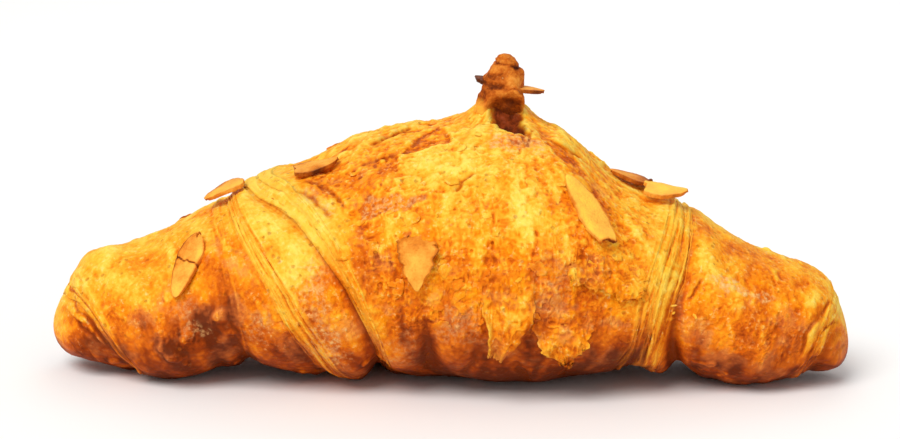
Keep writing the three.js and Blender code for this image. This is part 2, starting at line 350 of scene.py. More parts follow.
@dataclass(frozen=True)
class Edge:
    """The cut edge of a turn of dough, where its stacked leaves show between two lines."""

    outer: Line
    inner: Line
    ledges: int
    leaves: float
    step: float
    groove: float
    seed: int
    pale: float = 1.0
    ridge_groove: float = 0.15
    lip: float = 0.0
    strips: int = 2
    reach: float = 1.8
    lift: float = 0.25

    FADE = 9.0
    EASE = 0.6
    WIDTH = 2.2
    UNDER_GROOVE = 1.1
    CRACK_WIDTH = 0.8
    FULL_CRACK = 1.6
    GLOW_REACH = 6.0

    def stack(self, low: np.ndarray) -> tuple[np.ndarray, np.ndarray]:
        """Gives the lines between which the leaves show, without the outer line's hook."""
        return replace(self.outer, hook=0.0).at(low), self.inner.at(low)

    def layers(self, at: Places) -> tuple[np.ndarray, ...]:
        """Works out the stacked leaves at places on the crust.

        Args:
            at: Places on the roll.

        Returns:
            Relief in millimetres, paleness of the leaves, shade in their gaps, and glow of the lip.
        """
        grain = Grain(self.seed)
        x, low, c, s = at.x, at.low, np.cos(at.angle), np.sin(at.angle)
        outer, inner = self.outer.at(low), self.inner.at(low)
        side = np.sign(inner - outer)
        within = np.clip((x - outer) / (inner - outer), 0.0, 1.0)
        drift = grain.at(2.6 * c, 2.6 * s, 2.0 * within)
        place = within * self.ledges + 0.5 * drift * 4.0 * within * (1.0 - within)
        place = np.clip(place, 0.0, self.ledges - 1e-6)
        ledge = place.astype(int)
        stair = (ledge + smooth(place - ledge, 0.0, 0.3)) / self.ledges
        away = np.maximum(np.maximum((outer - x) * side, (x - inner) * side), 0.0)
        step = self.step * (1.0 - self.EASE * low) * np.exp(-away / self.FADE)
        depth = self.groove * (self.ridge_groove + self.UNDER_GROOVE * low * low)
        groove = depth * np.exp(-(((x - outer) / self.WIDTH) ** 2))
        first, last = self.stack(low)
        t = (x - first) / (last - first)
        lane = t * self.leaves + 0.8 * drift
        streak = grain.at(lane, 1.7 * c + 30.0, 1.7 * s) + 0.8 * grain.at(2.1 * lane, 3.4 * c + 50.0, 3.4 * s)
        band = smooth(t, -0.2, 0.08) * (1.0 - smooth(t, 0.85, 1.3))
        relief = step * (stair - 0.5) - groove + 0.28 * streak * band
        pale = self.pale * band * smooth(streak, -0.5, 0.6) * (1.0 - 0.4 * low)
        crack = np.exp(-(((x - outer) / self.CRACK_WIDTH) ** 2)) * min(self.groove, self.FULL_CRACK) / self.FULL_CRACK
        shade = band * smooth(-streak, 0.3, 1.0) * 0.45 + (self.ridge_groove + 0.7 * low * low) * crack
        past = np.maximum((x - outer) * side, 0.0) / self.GLOW_REACH
        return relief, pale, shade, self.lip * np.exp(-(past**2)) * smooth(t, -0.1, 0.1)


@dataclass(frozen=True)
class Collar:
    """The raised ring of dough round the paste, in millimetres."""

    x: float = 10.7
    y: float = -0.9
    height: float = 5.8
    width: float = 4.7
    top: float = 57.0


@dataclass(frozen=True)
class Roll:
    """The baked roll of dough, in millimetres, before it is made a mesh."""

    STRANDS = 5.0
    STRAND_LENGTH = 14.0
    STRAND_FADE = 24.0

    length: float = 170.0
    shift: float = 0.57
    left_rounding: float = 9.0
    right_rounding: float = 4.8
    lower_shoulder: float = 0.88
    collar: Collar = Collar()
    middle_edges: tuple[int, int] = (3, 4)
    stations: tuple[Station, ...] = (
        Station(-85, 17.8, 0.6, 20, 3),
        Station(-76, 24.4, 2, 27, 4),
        Station(-62, 29.8, -1, 37.5, 5),
        Station(-45, 38.8, 1.7, 51.5, 3.8),
        Station(-20, 48.6, -1, 67, 1),
        Station(6, 54.6, -1, 76, 0),
        Station(20, 54, -1, 75, 1.5),
        Station(36, 42.6, 1.2, 60, 5),
        Station(52, 35.4, 1, 46, 9),
        Station(64, 28.6, -1.3, 37, 11),
        Station(78, 23.2, 1.8, 26, 12),
        Station(85, 14, 1.2, 16, 12),
    )
    edges: tuple[Edge, ...] = (
        Edge(Line(-82.5, 17), Line(-79.5, 17.5), 2, 3.5, 1.6, 0.6, 21, 0.45, strips=2, lift=0.14),
        Edge(Line(-50, 8, 0.5), Line(-48.5, 8.5, 0.5), 1, 2.0, 0.2, 1.6, 22, 0.1, 0.0, strips=0),
        Edge(Line(-46.6, 22), Line(-45, 27.5), 2, 7.0, 1.1, 0.6, 23, 0.6, lip=0.08, strips=6, reach=0.9, lift=0.12),
        Edge(Line(-43.2, 34.5, 0.52, 0, 0.015, -6.5), Line(-37.4, 30.5, 0.52, 0, 0.015, -6.0), 3, 7.0, 1.7, 1.8, 24,
             0.78, 0.5, 0.22, 2, 4.0, 0.2),
        Edge(Line(51.5, -9.5, 0.8, 7), Line(47, -12.5, 0.6), 3, 10.0, 1.4, 2.4, 25, 1.0, 0.3, 0.14, 9, 0.9, 0.12),
        Edge(Line(83, -8), Line(80.5, -9.5), 2, 3.5, 1.4, 0.6, 26, 0.4, 0.3, 0.06, 3, lift=0.14),
    )
    creases: tuple[Crease, ...] = (
        Crease(((-18.6, 63), (-14.6, 64.5), (-10, 63)), 0.25, 0.35, 0.7, 0.5),
        Crease(((-17, 76), (-13.5, 79), (-10, 83.5), (-7.5, 87)), 0.35, 0.5, 0.8, 0.8),
        Crease(((-3.9, -10), (-4, -23), (-3.2, -35), (-2.4, -52)), 0, 0.6, 1.6, 0.45),
        Crease(((7.5, -25), (5.5, -35), (3, -50)), 0.1, 0.5, 1, 0.6),
        Crease(((13.5, -36), (16, -44), (17.5, -58)), 0.1, 0.5, 1.1, 0.6),
        Crease(((26.5, -36), (25, -46), (24, -58)), 0.1, 0.5, 1.1, 0.6),
        Crease(((5.6, 47), (3, 42.5), (1.5, 37)), 0.3, 0.35, 0.6, 0.7),
        Crease(((20.5, 72), (25, 70), (28.5, 74)), 0.3, 0.35, 0.7, 0.5),
        Crease(((18, 76), (17.4, 68), (16.8, 60)), 0.25, 0.35, 0.6, 0.6),
        Crease(((15.6, 62), (16, 68), (16.2, 74)), 0.2, 0.25, 0.5, 0.4),
        Crease(((-16, 30), (-13.5, 10), (-12, -14), (-9.5, -40)), 0.1, 0.2, 0.9, 0.12),
        Crease(((-12.5, 24), (-9.8, 2), (-8.2, -26)), 0.1, 0.2, 0.8, 0.1),
        Crease(((-33.5, 62), (-29.5, 54), (-26.5, 46), (-23, 34)), 0.35, 0.4, 0.7, 0.6),
        Crease(((-30.5, 66), (-26, 57), (-23, 48), (-20, 40)), 0.3, 0.35, 0.7, 0.5),
        Crease(((48.6, 8), (50.4, 18), (52.6, 28)), 0.35, 0.25, 0.6, 0.35, 0.4),
        Crease(((-82.4, 35), (-78.6, 5), (-72, -32)), 0.2, 0.35, 0.6, 0.5),
        Crease(((-81, 50), (-76.6, 12), (-70.6, -32)), 0.2, 0.3, 0.6, 0.45),
        Crease(((-78, 46), (-73.4, 4), (-67.4, -34)), 0.2, 0.3, 0.6, 0.4),
        Crease(((81, 52), (76.4, 16), (72.6, -22)), 0.5, 0.4, 0.8, 0.5, 0.5),
        Crease(((82.6, 20), (79.6, -6), (76.4, -36)), 0.35, 0.4, 0.6, 0.7, 0.4),
        Crease(((82.4, 36), (78.2, 6), (74.4, -28)), 0.3, 0.35, 0.6, 0.6, 0.4),
        Crease(((83.4, 0), (81.4, -18), (79.4, -40)), 0.3, 0.35, 0.6, 0.6, 0.4),
        Crease(((-60, 150), (-56, 172), (-52, 200)), 0.2, 0.35, 0.8, 0.45),
        Crease(((4, 150), (5.5, 172), (4, 200)), 0.1, 0.6, 1.2, 0.55),
        Crease(((-24, 140), (-18, 160), (-15, 190)), 0.3, 0.4, 0.9, 0.5),
        Crease(((20, 128), (27, 140), (30, 165)), 0.3, 0.4, 0.9, 0.5),
    )
    openings: tuple[Opening, ...] = (
        Opening(((-9.6, 63), (-5.7, 64), (-2.6, 65), (0.9, 66.5), (-0.2, 77), (-2, 85), (-3.6, 80), (-5.4, 78),
                 (-7, 71.5), (-8.6, 68)), 0.55, 0.22, rim=0.1, line=0.2, soft=0.45),
        Opening(((-17.5, 31), (-13, 33.5), (-9.6, 31.5), (-6, 35), (-3.6, 36), (-4.2, 39.5), (-8, 39), (-10, 42),
                 (-14, 41.5), (-16, 45), (-18.5, 39)), 0.25, 0.12, 0.8, rim=0.1, line=0.1, soft=0.7),
        Opening(((17.3, -9), (20, -11), (24.5, -9), (25, 0), (24.4, 9), (22.5, 13), (19.5, 15), (17.6, 9), (17, 2)),
                0.35, -0.02, 0.4, rim=0.1, line=0.1, soft=1.2),
        Opening(((20.4, 66), (21.6, 61), (24.2, 58), (26.8, 60), (27.4, 66), (25.6, 71), (22.4, 71)),
                0.4, 0.13, rim=0.1, line=0.1, soft=1),
        Opening(((9, 80), (9.6, 76), (11.2, 72.5), (14, 69.5), (15.9, 70), (16.2, 74), (15.4, 84), (13.8, 90),
                 (10.8, 90), (9.3, 86)), 2.4, 0.24, dark=1, rim=0, line=0, soft=1.6),
        Opening(((-28, 148), (-20, 146), (-16, 157), (-24, 165), (-29, 160)), 0.3, 0.1, 0.5,
                rim=0.05, line=0.1, soft=0.8),
        Opening(((8, 164), (12, 156), (16, 159), (20, 152), (21, 166), (17, 172), (18, 184), (11, 178), (7, 182),
                 (9, 172)), 0.3, 0.08, 0.45, rim=0.05, line=0.1, soft=0.8),
    )
    lumps: tuple[tuple[float, float, int, float], ...] = (
        (0.4, 0.19, 2, 1.2),
        (0.25, 0.31, 3, 2.1),
        (0.2, 0.47, 5, 4.0),
    )
    swells: tuple[Spot, ...] = spots(
        (-33, 14, 5, 26, 1.1), (-58, -15, 6, 24, 0.8), (4, 36, 3.2, 24, 0.5), (-4, -34, 1.8, 22, -0.9),
        (2.5, -30, 3.6, 16, 1.1), (-9.5, -34, 3.4, 18, 1), (-21, -40, 4, 18, 0.6), (10, -48, 3.6, 10, 0.9),
        (19.5, -52, 4, 12, 0.8), (31, -30, 4.5, 18, 0.9), (20.5, 88, 3, 26, -1.5), (27, 82, 3.5, 10, 0.7),
        (-30, 92, 8, 30, -0.9), (-72, 92, 5, 36, 0.7), (-42.5, 90, 2.4, 30, 2), (-80.6, 88, 1.8, 34, -0.8),
        (-46.6, -5, 1.5, 5, 0.6), (-53.1, 1, 1.3, 4.5, 0.45), (-46.6, -25, 1.6, 5, 0.5),
        (-54.2, -13, 1.6, 5, 0.55), (-50.2, -13, 1.1, 4, -0.5), (-49.9, 6, 1.4, 5, 0.4),
        (-57, -22, 1.6, 5, 0.45), (83.3, 84, 1.6, 40, 1.3), (-48.4, -62, 2.2, 20, -1.3),
        (50.8, -62, 2, 20, -1.2), (52, 90, 2.6, 30, 1.7), (-11, -62, 4.5, 20, -2), (77.5, 84, 4, 40, -0.9),
        (38.8, -62, 3.5, 20, -1.5), (70.5, -60, 3.5, 22, -1.2), (46.5, -30, 2, 30, -0.8),
        (62, -25, 6, 24, 0.7), (-24, 150, 6, 22, 0.8), (18, 170, 7, 26, 0.9), (-52, 175, 6, 24, 0.7),
        (60, 165, 6, 24, 0.7), (0, 205, 2, 24, -0.9),
    )
    # Bake offsets by region; the lighter spot on the crown at (-4, 55) is partly a painted highlight.
    tints: tuple[Spot, ...] = spots(
        (-70, 48, 11, 36, -0.03), (-52, -2, 6, 20, 0.16), (-72, -24, 9, 16, 0.08), (-83, -6, 5, 36, -0.32),
        (-76, -34, 6, 14, -0.14), (-58, -18, 6, 18, 0.2), (-47.5, -6, 5, 30, 0.13),
        (-46.6, -5, 1.4, 4.5, -0.16), (-46.6, -25, 1.5, 4.5, -0.16), (-54.2, -13, 1.6, 5, -0.12),
        (-34.5, 46, 5.5, 16, -0.17), (-31.5, 14, 5, 20, -0.3), (-25, -28, 5, 18, -0.36),
        (-38, -20, 4.5, 18, -0.18), (-27, 58, 5, 12, 0.25), (-14, 60, 8, 11, 0.29), (-18, 50, 6, 9, 0.18),
        (4, 44, 9, 18, -0.15), (-4, 55, 6, 8, -0.18), (17, 22, 7, 12, -0.22), (40, -22, 4, 16, 0.14),
        (62, -34, 10, 14, 0.06), (14, -50, 14, 14, 0.13), (-4, -28, 2.5, 18, 0.1), (24.5, 64.5, 6, 7, 0.11),
        (33, 62, 5, 12, 0.1), (60, 56, 10, 22, 0.28), (30, 46, 6, 10, 0.08), (-58, -32, 12, 14, 0.06),
        (40, -36, 6, 14, 0.16), (57, 30, 4.5, 10, -0.12), (-13, 81, 4, 4, 0.14), (-22, 82, 2.5, 4, 0.2),
        (27.5, 57, 4.5, 5, 0.2), (31, 51, 6, 5, 0.14), (3, -26, 5, 12, 0.11), (2, 4, 10, 14, 0.06),
        (18, 58, 3, 5, -0.12), (13, 64.5, 6, 7, 0.2), (28, 70, 3, 4, -0.1), (43.5, 5, 4.5, 45, -0.16),
        (-30, 130, 9, 20, -0.12), (-10, 175, 8, 26, 0.1), (2, 125, 9, 16, -0.1), (30, 150, 9, 24, -0.08),
        (58, 190, 8, 24, 0.1), (-60, 195, 8, 24, 0.12),
    )
    # Worn, bare places; the one on the right lobe at (59, 30) paints pale highlights.
    patches: tuple[Spot, ...] = spots(
        (3, -18, 5, 14, 0.6), (-9, -30, 4, 14, 0.5), (-54, 5, 4, 11, 0.6), (-54, -10, 4.2, 8, 0.75),
        (-49.5, -16, 1.8, 4, 0.75), (-27, 2, 4, 18, 0.6), (-24.5, -24, 4.5, 16, 0.75),
        (-38, -16, 3.5, 18, 0.58), (-27, 47, 3, 12, 0.6, -0.25), (59, 30, 8, 6, 0.95),
        (12.8, 63.5, 7, 8.5, 0.95), (20, 140, 6, 9, 0.6), (-42, 165, 4, 12, 0.6),
    )
    rough: tuple[Spot, ...] = spots(
        (-29, 0, 5, 36, 0.8), (60, 24, 11, 22, 0.8), (66, -6, 7, 16, 0.6), (-55, -12, 5, 10, 0.8),
        (-70, 20, 8, 16, 0.4), (-52, 160, 8, 26, 0.6), (60, 160, 9, 26, 0.7),
    )

    def along(self, name: str, x: np.ndarray) -> np.ndarray:
        """Reads a size of the section on a smooth curve through the stations.

        Args:
            name: Field of a station.
            x: Places along the roll.

        Returns:
            The size at each place.
        """
        at = np.array([s.x for s in self.stations])
        size = np.array([getattr(s, name) for s in self.stations])
        before = np.maximum(np.arange(len(at)) - 1, 0)
        after = np.minimum(np.arange(len(at)) + 1, len(at) - 1)
        slope = (size[after] - size[before]) / (at[after] - at[before])
        i = np.clip(np.searchsorted(at, x, side="left") - 1, 0, len(at) - 2)
        span = at[i + 1] - at[i]
        t = np.clip((x - at[i]) / span, 0.0, 1.0)
        rise = t * t * (3.0 - 2.0 * t)
        leave = t * (1.0 - t) ** 2 * span
        arrive = t * t * (t - 1.0) * span
        return size[i] * (1.0 - rise) + size[i + 1] * rise + slope[i] * leave + slope[i + 1] * arrive

    def radius(self, path: Sequence[tuple[float, float]]) -> float:
        """Gives the roll's mean radius at the middle of a path."""
        where = np.array([sum(point[0] for point in path) / len(path)])
        return float((self.along("ridge", where) + self.along("depth", where))[0] / 4.0)

    def inside(self, at: Places) -> tuple[np.ndarray, np.ndarray]:
        """Measures how far places lie inside the middle's left and right edge."""
        left, right = (self.edges[number].inner.at(at.low) for number in self.middle_edges)
        return at.x - left, right - at.x

    def crumbly(self, at: Places) -> np.ndarray:
        """Is 1 on the crown of the middle, whose leaf is torn and crumbly, and 0 elsewhere."""
        left, right = self.inside(at)
        return smooth(left, 0.0, 5.0) * smooth(right, 0.0, 5.0) * (1.0 - smooth(at.low, 0.55, 0.85))

    def rounding(self, x: np.ndarray) -> np.ndarray:
        """Rounds off the roll's ends.

        Args:
            x: Places along the roll.

        Returns:
            Share of the full section, 1 along the roll and 0 at either end.
        """
        size = np.where(x < 0.0, self.left_rounding, self.right_rounding)
        past = np.clip((np.abs(x) - (self.length / 2.0 - size)) / size, 0.0, 1.0)
        return np.sqrt(1.0 - past * past)

    def lines(self, low: np.ndarray) -> np.ndarray:
        """Lists the ends of the roll and every edge's lines in order.

        Args:
            low: Lowness of places on them.

        Returns:
            x of the lines there, on a last axis of its own.
        """
        found = [line.at(low) for edge in self.edges for line in (edge.outer, edge.inner)]
        ends = np.full_like(low, self.length / 2.0)
        return np.stack([-ends, *sorted(found, key=np.mean), ends], axis=-1)

    @staticmethod
    def follow(x: np.ndarray, source: np.ndarray, target: np.ndarray) -> np.ndarray:
        """Moves places along with the lines on either side of them.

        Args:
            x: Places along the roll.
            source: x of the lines where the places are, on a last axis.
            target: x of the same lines where the places go.

        Returns:
            x of the moved places.
        """
        source, target = np.broadcast_arrays(source, target)
        span = np.clip((x[..., None] >= source).sum(axis=-1) - 1, 0, source.shape[-1] - 2)
        (first, last), (start, end) = either_side(source, span), either_side(target, span)
        return start + (x - first) / (last - first) * (end - start)

    def flow(self, x: np.ndarray, low: np.ndarray) -> np.ndarray:
        """Follows places along the dough's edges to half height."""
        return self.follow(x, self.lines(low), self.lines(HALF_HEIGHT))

    def unflow(self, level: np.ndarray, low: np.ndarray) -> np.ndarray:
        """Follows places at half height along the dough's edges to another lowness."""
        return self.follow(level, self.lines(HALF_HEIGHT), self.lines(low))

    def skin(self, x: np.ndarray, angle: np.ndarray, lift: Union[float, np.ndarray] = 0.0, fine: float = 0.0,
             torn: float = 0.0) -> Skin:
        """Works out the crust at places along and round the roll.

        Args:
            x: Places along the roll in millimetres.
            angle: Angles round it in radians, 0 on the shown side and a quarter turn on the ridge.
            lift: Height above the crust in millimetres.
            fine: Share of the fine relief that is added.
            torn: How torn the places are at least, from 0 to 1.

        Returns:
            The crust's points and the values that its finish reads.
        """
        around = self.rounding(x)
        ridge, under, depth, forward = (self.along(name, x) for name in ("ridge", "under", "depth", "forward"))
        tall, deep = (ridge - under) / 2.0 * around, depth / 2.0 * around
        c, s = np.cos(angle), np.sin(angle)
        power = np.where(s < 0.0, self.lower_shoulder, 1.0)
        y = self.shift - forward - deep * np.sign(c) * np.abs(c) ** power
        z = (ridge + under) / 2.0 + tall * np.sign(s) * np.abs(s) ** power
        out_y, out_z = -c * np.maximum(tall, 1.0), s * np.maximum(deep, 1.0)
        size = np.hypot(out_y, out_z)
        base = np.stack([x, y, z], axis=-1)
        at = Places(x, angle, lowness(angle), base, 0.5 * Grain(Seed.WOBBLE).layered(base, 2.6, 2))
        lane = self.lanes(at)
        insets = [hole.inset(at, self.radius(hole.path)) for hole in self.openings]
        relief, leaf, shade, glow = self.forms(at, lane, insets)
        bake, bare, dark = self.colours(at, insets)
        if fine:
            torn = np.clip(torn + sum(spot.amount * spot.weight(at) for spot in self.rough), 0.0, 1.0)
            calm = 1.0 - 0.75 * (1.0 - torn) * smooth(at.low, 0.58, 0.8)
            relief = relief + fine * calm * self.grit(base, lane, np.maximum(self.crumbly(at), torn), leaf)
        raised = relief * around + lift
        point = np.stack([x, y + out_y / size * raised, np.maximum(z + out_z / size * raised, 0.0)], -1)
        return Skin(point, relief, bake - glow, leaf, bare, shade, dark, lane)

    def lanes(self, at: Places) -> np.ndarray:
        """Follows the way in which the dough is drawn: along its edges, and away from the collar in the middle.

        Args:
            at: Places on the roll.

        Returns:
            Places across the strands, then the strands' own bearing, on a last axis.
        """
        along = np.stack([self.flow(at.x, at.low), np.cos(at.angle), np.sin(at.angle)], axis=-1)
        middle = at.base - np.array([self.collar.x, self.collar.y, self.collar.top])
        heading = np.arctan2(middle[..., 1], middle[..., 0])
        round_ = self.STRANDS * np.cos(heading), self.STRANDS * np.sin(heading)
        drawn = np.stack([0.2 * np.linalg.norm(middle, axis=-1), *round_], axis=-1)
        left, right = self.inside(at)
        return np.where(((left > 0.0) & (right > 0.0))[..., None], drawn, along)

    def forms(self, at: Places, lane: np.ndarray, insets: Sequence[np.ndarray]) -> tuple[np.ndarray, ...]:
        """Works out the relief of the crust over the plain roll.

        Args:
            at: Places on the roll.
            lane: Bearings of the dough's strands.
            insets: How far the places lie inside each opening.

        Returns:
            Relief in millimetres, paleness of the leaves, shade in gaps, and glow of the lips.
        """
        relief = np.zeros_like(at.x)
        for height, waves, turns, phase in self.lumps:
            relief += height * np.sin(waves * at.x + turns * at.angle + phase)
        collar = self.collar
        off_x, off_y = at.x - collar.x, at.base[..., 1] - collar.y
        away, heading = np.hypot(off_x, off_y), np.arctan2(off_y, off_x)
        upper = np.sin(at.angle) > 0.0
        relief += np.where(upper, collar.height * np.exp(-((away / collar.width) ** 2)), 0.0)
        for swell in self.swells:
            relief += swell.amount * swell.weight(at)
        round_ = self.STRANDS * np.cos(heading), self.STRANDS * np.sin(heading)
        pull = Grain(Seed.PULL).at(*round_, away / self.STRAND_LENGTH)
        relief += np.where(upper, 0.6 * pull * smooth(away, 5.0, 12.0) * np.exp(-away / self.STRAND_FADE), 0.0)
        leaf, shade, glow = (np.zeros_like(at.x) for _ in range(3))
        cuts = ((*crease.cut(at, self.radius(crease.path)), 0.0) for crease in self.creases)
        for rise, pale, gap_shade, shine in chain((edge.layers(at) for edge in self.edges), cuts):
            relief += rise
            leaf, shade, glow = np.maximum(leaf, pale), np.maximum(shade, gap_shade), np.maximum(glow, shine)
        for hole, inset in zip(self.openings, insets):
            torn = smooth(inset, -0.25 - 0.5 * hole.soft, 0.45 + hole.soft)
            relief += hole.rim * np.exp(-(np.minimum(inset, 0.0) ** 2)) * (1.0 - torn) - hole.depth * torn
            # Painted shade just inside the torn edge.
            shade = np.maximum(shade, hole.line * np.exp(-(((inset - 0.3) / 0.4) ** 2)))
        crumbly = self.crumbly(at)
        streak = Grain(Seed.STREAKS).at(lane[..., 0] / 2.6, 1.4 * lane[..., 1], 1.4 * lane[..., 2])
        relief += 0.22 * streak * (1.0 - 0.7 * leaf) * (1.0 - crumbly)
        relief += (0.26 + 0.2 * crumbly) * Grain(Seed.LUMPS).layered(at.base, 6.5, 3)
        relief += 0.24 * crumbly * Grain(Seed.KNOBS).layered(at.base, 3.0, 2)
        relief -= 0.4 * crumbly * smooth(Grain(Seed.DIPS).layered(at.base, 4.4, 2), 0.5, 1.0)
        relief += 0.5 * smooth(Grain(Seed.BLISTERS).layered(at.base, 3.4, 2), 0.55, 1.1)
        return relief, np.clip(leaf, 0.0, 1.0), np.clip(shade, 0.0, 1.0), glow

    @staticmethod
    def grit(base: np.ndarray, lane: np.ndarray, crumbly: np.ndarray, leaf: np.ndarray) -> np.ndarray:
        """Works out the fine relief: flaky steps, crumbs and pits, and fine lines along the cut leaves.

        Args:
            base: Points on the plain roll.
            lane: Bearings of the dough's strands.
            crumbly: How torn the places are.
            leaf: How much of the cut leaves shows.

        Returns:
            Relief in millimetres.
        """
        field = 2.6 * Grain(Seed.STEPS).layered(base * np.array([1.3, 1.0, 0.8]), 5.0, 4)
        step = np.floor(field)
        flaky = step + smooth(field - step, 0.7, 1.0) - field
        bumps = np.abs(Grain(Seed.BUMPS).layered(base, 1.7, 2)) - 0.35
        fine = np.abs(Grain(Seed.GRIT).layered(base, 1.1, 1)) - 0.3
        pits = smooth(Grain(Seed.PITS).layered(base, 1.5, 1), 0.5, 0.75)
        comb = Grain(Seed.COMB).at(lane[..., 0] / 0.6, 1.1 * lane[..., 1], 1.1 * lane[..., 2])
        rough = 0.4 + 0.6 * crumbly
        grain = rough * (0.2 * flaky + 0.19 * bumps - 0.2 * pits) + (0.1 + 0.06 * crumbly) * fine
        return grain * (1.0 - 0.75 * leaf) + 0.2 * comb * (0.15 + 0.85 * leaf) * (1.0 - crumbly)

    def colours(self, at: Places, insets: Sequence[np.ndarray]) -> tuple[np.ndarray, np.ndarray, np.ndarray]:
        """Works out how far the crust is baked, darker towards the underside with painted shade, where its glaze is
        worn off or a pale highlight is painted, and where the filling shows with painted shade.

        Args:
            at: Places on the roll.
            insets: How far the places lie inside each opening.

        Returns:
            Bake from 0, pale, to 1, dark brown, with painted shade in it, bareness from 0 to 1, with a painted pale
            highlight in it, and darkness of the filling and painted shade under the paste.
        """
        broad = Grain(Seed.CLOUDS).layered(at.base, 11.0, 3)
        fine = Grain(Seed.MOTTLE).layered(at.base, 2.6, 2)
        # Darker towards the underside: partly a browner bake, partly painted shade.
        bake = 0.24 + 0.6 * at.low + 0.13 * smooth(at.low, 0.5, 0.9)
        for tint in self.tints:
            bake += tint.amount * tint.weight(at) * (1.0 + 0.6 * broad)
        bake += 0.08 * broad + 0.05 * fine
        # Dark right under the paste: dark filling and painted shade.
        away = np.hypot(at.x - self.collar.x - 1.0, at.base[..., 1] - self.collar.y)
        bare, dark = np.zeros_like(at.x), np.where(np.sin(at.angle) > 0.0, 1.0 - smooth(away, 3.0, 4.6), 0.0)
        for patch in self.patches:
            edge = patch.weight(at) + 0.4 * fine + 0.2 * broad
            bare = np.maximum(bare, patch.amount * smooth(edge, 0.35, 0.75))
        for hole, inset in zip(self.openings, insets):
            torn = smooth(inset, -0.2, 0.5)
            bake += hole.bake * torn
            bare = np.maximum(bare, hole.bare * torn)
            dark = np.maximum(dark, hole.dark * smooth(inset, -2.0, 2.4))
        return bake, bare, dark


class Sock:
    """A shader socket that takes part in Python expressions."""

    def __init__(self, recipe: "Recipe", socket: bpy.types.NodeSocket) -> None:
        """Wraps one output socket of a recipe's tree."""
        self.recipe = recipe
        self.socket = socket

    def _math(self, operation: str, *terms: "Value") -> "Sock":
        """Adds one Math node on the given terms."""
        return self.recipe.sock(0, "ShaderNodeMath", dict(enumerate(terms)), operation=operation)

    def __add__(self, other: "Value") -> "Sock":
        """Adds."""
        return self._math("ADD", self, other)

    def __radd__(self, other: "Value") -> "Sock":
        """Adds, from the right."""
        return self._math("ADD", other, self)

    def __sub__(self, other: "Value") -> "Sock":
        """Subtracts."""
        return self._math("SUBTRACT", self, other)

    def __rsub__(self, other: "Value") -> "Sock":
        """Subtracts, from the right."""
        return self._math("SUBTRACT", other, self)

    def __mul__(self, other: "Value") -> "Sock":
        """Multiplies."""
        return self._math("MULTIPLY", self, other)

    def __rmul__(self, other: "Value") -> "Sock":
        """Multiplies, from the right."""
        return self._math("MULTIPLY", other, self)

    def eased(self, low: float, high: float) -> "Sock":
        """Eases from 0 at low to 1 at high, and stays in between."""
        sockets = {"Value": self, "From Min": low, "From Max": high}
        return self.recipe.sock("Result", "ShaderNodeMapRange", sockets, interpolation_type="SMOOTHSTEP")


Value = Union[Sock, float, Sequence[float]]


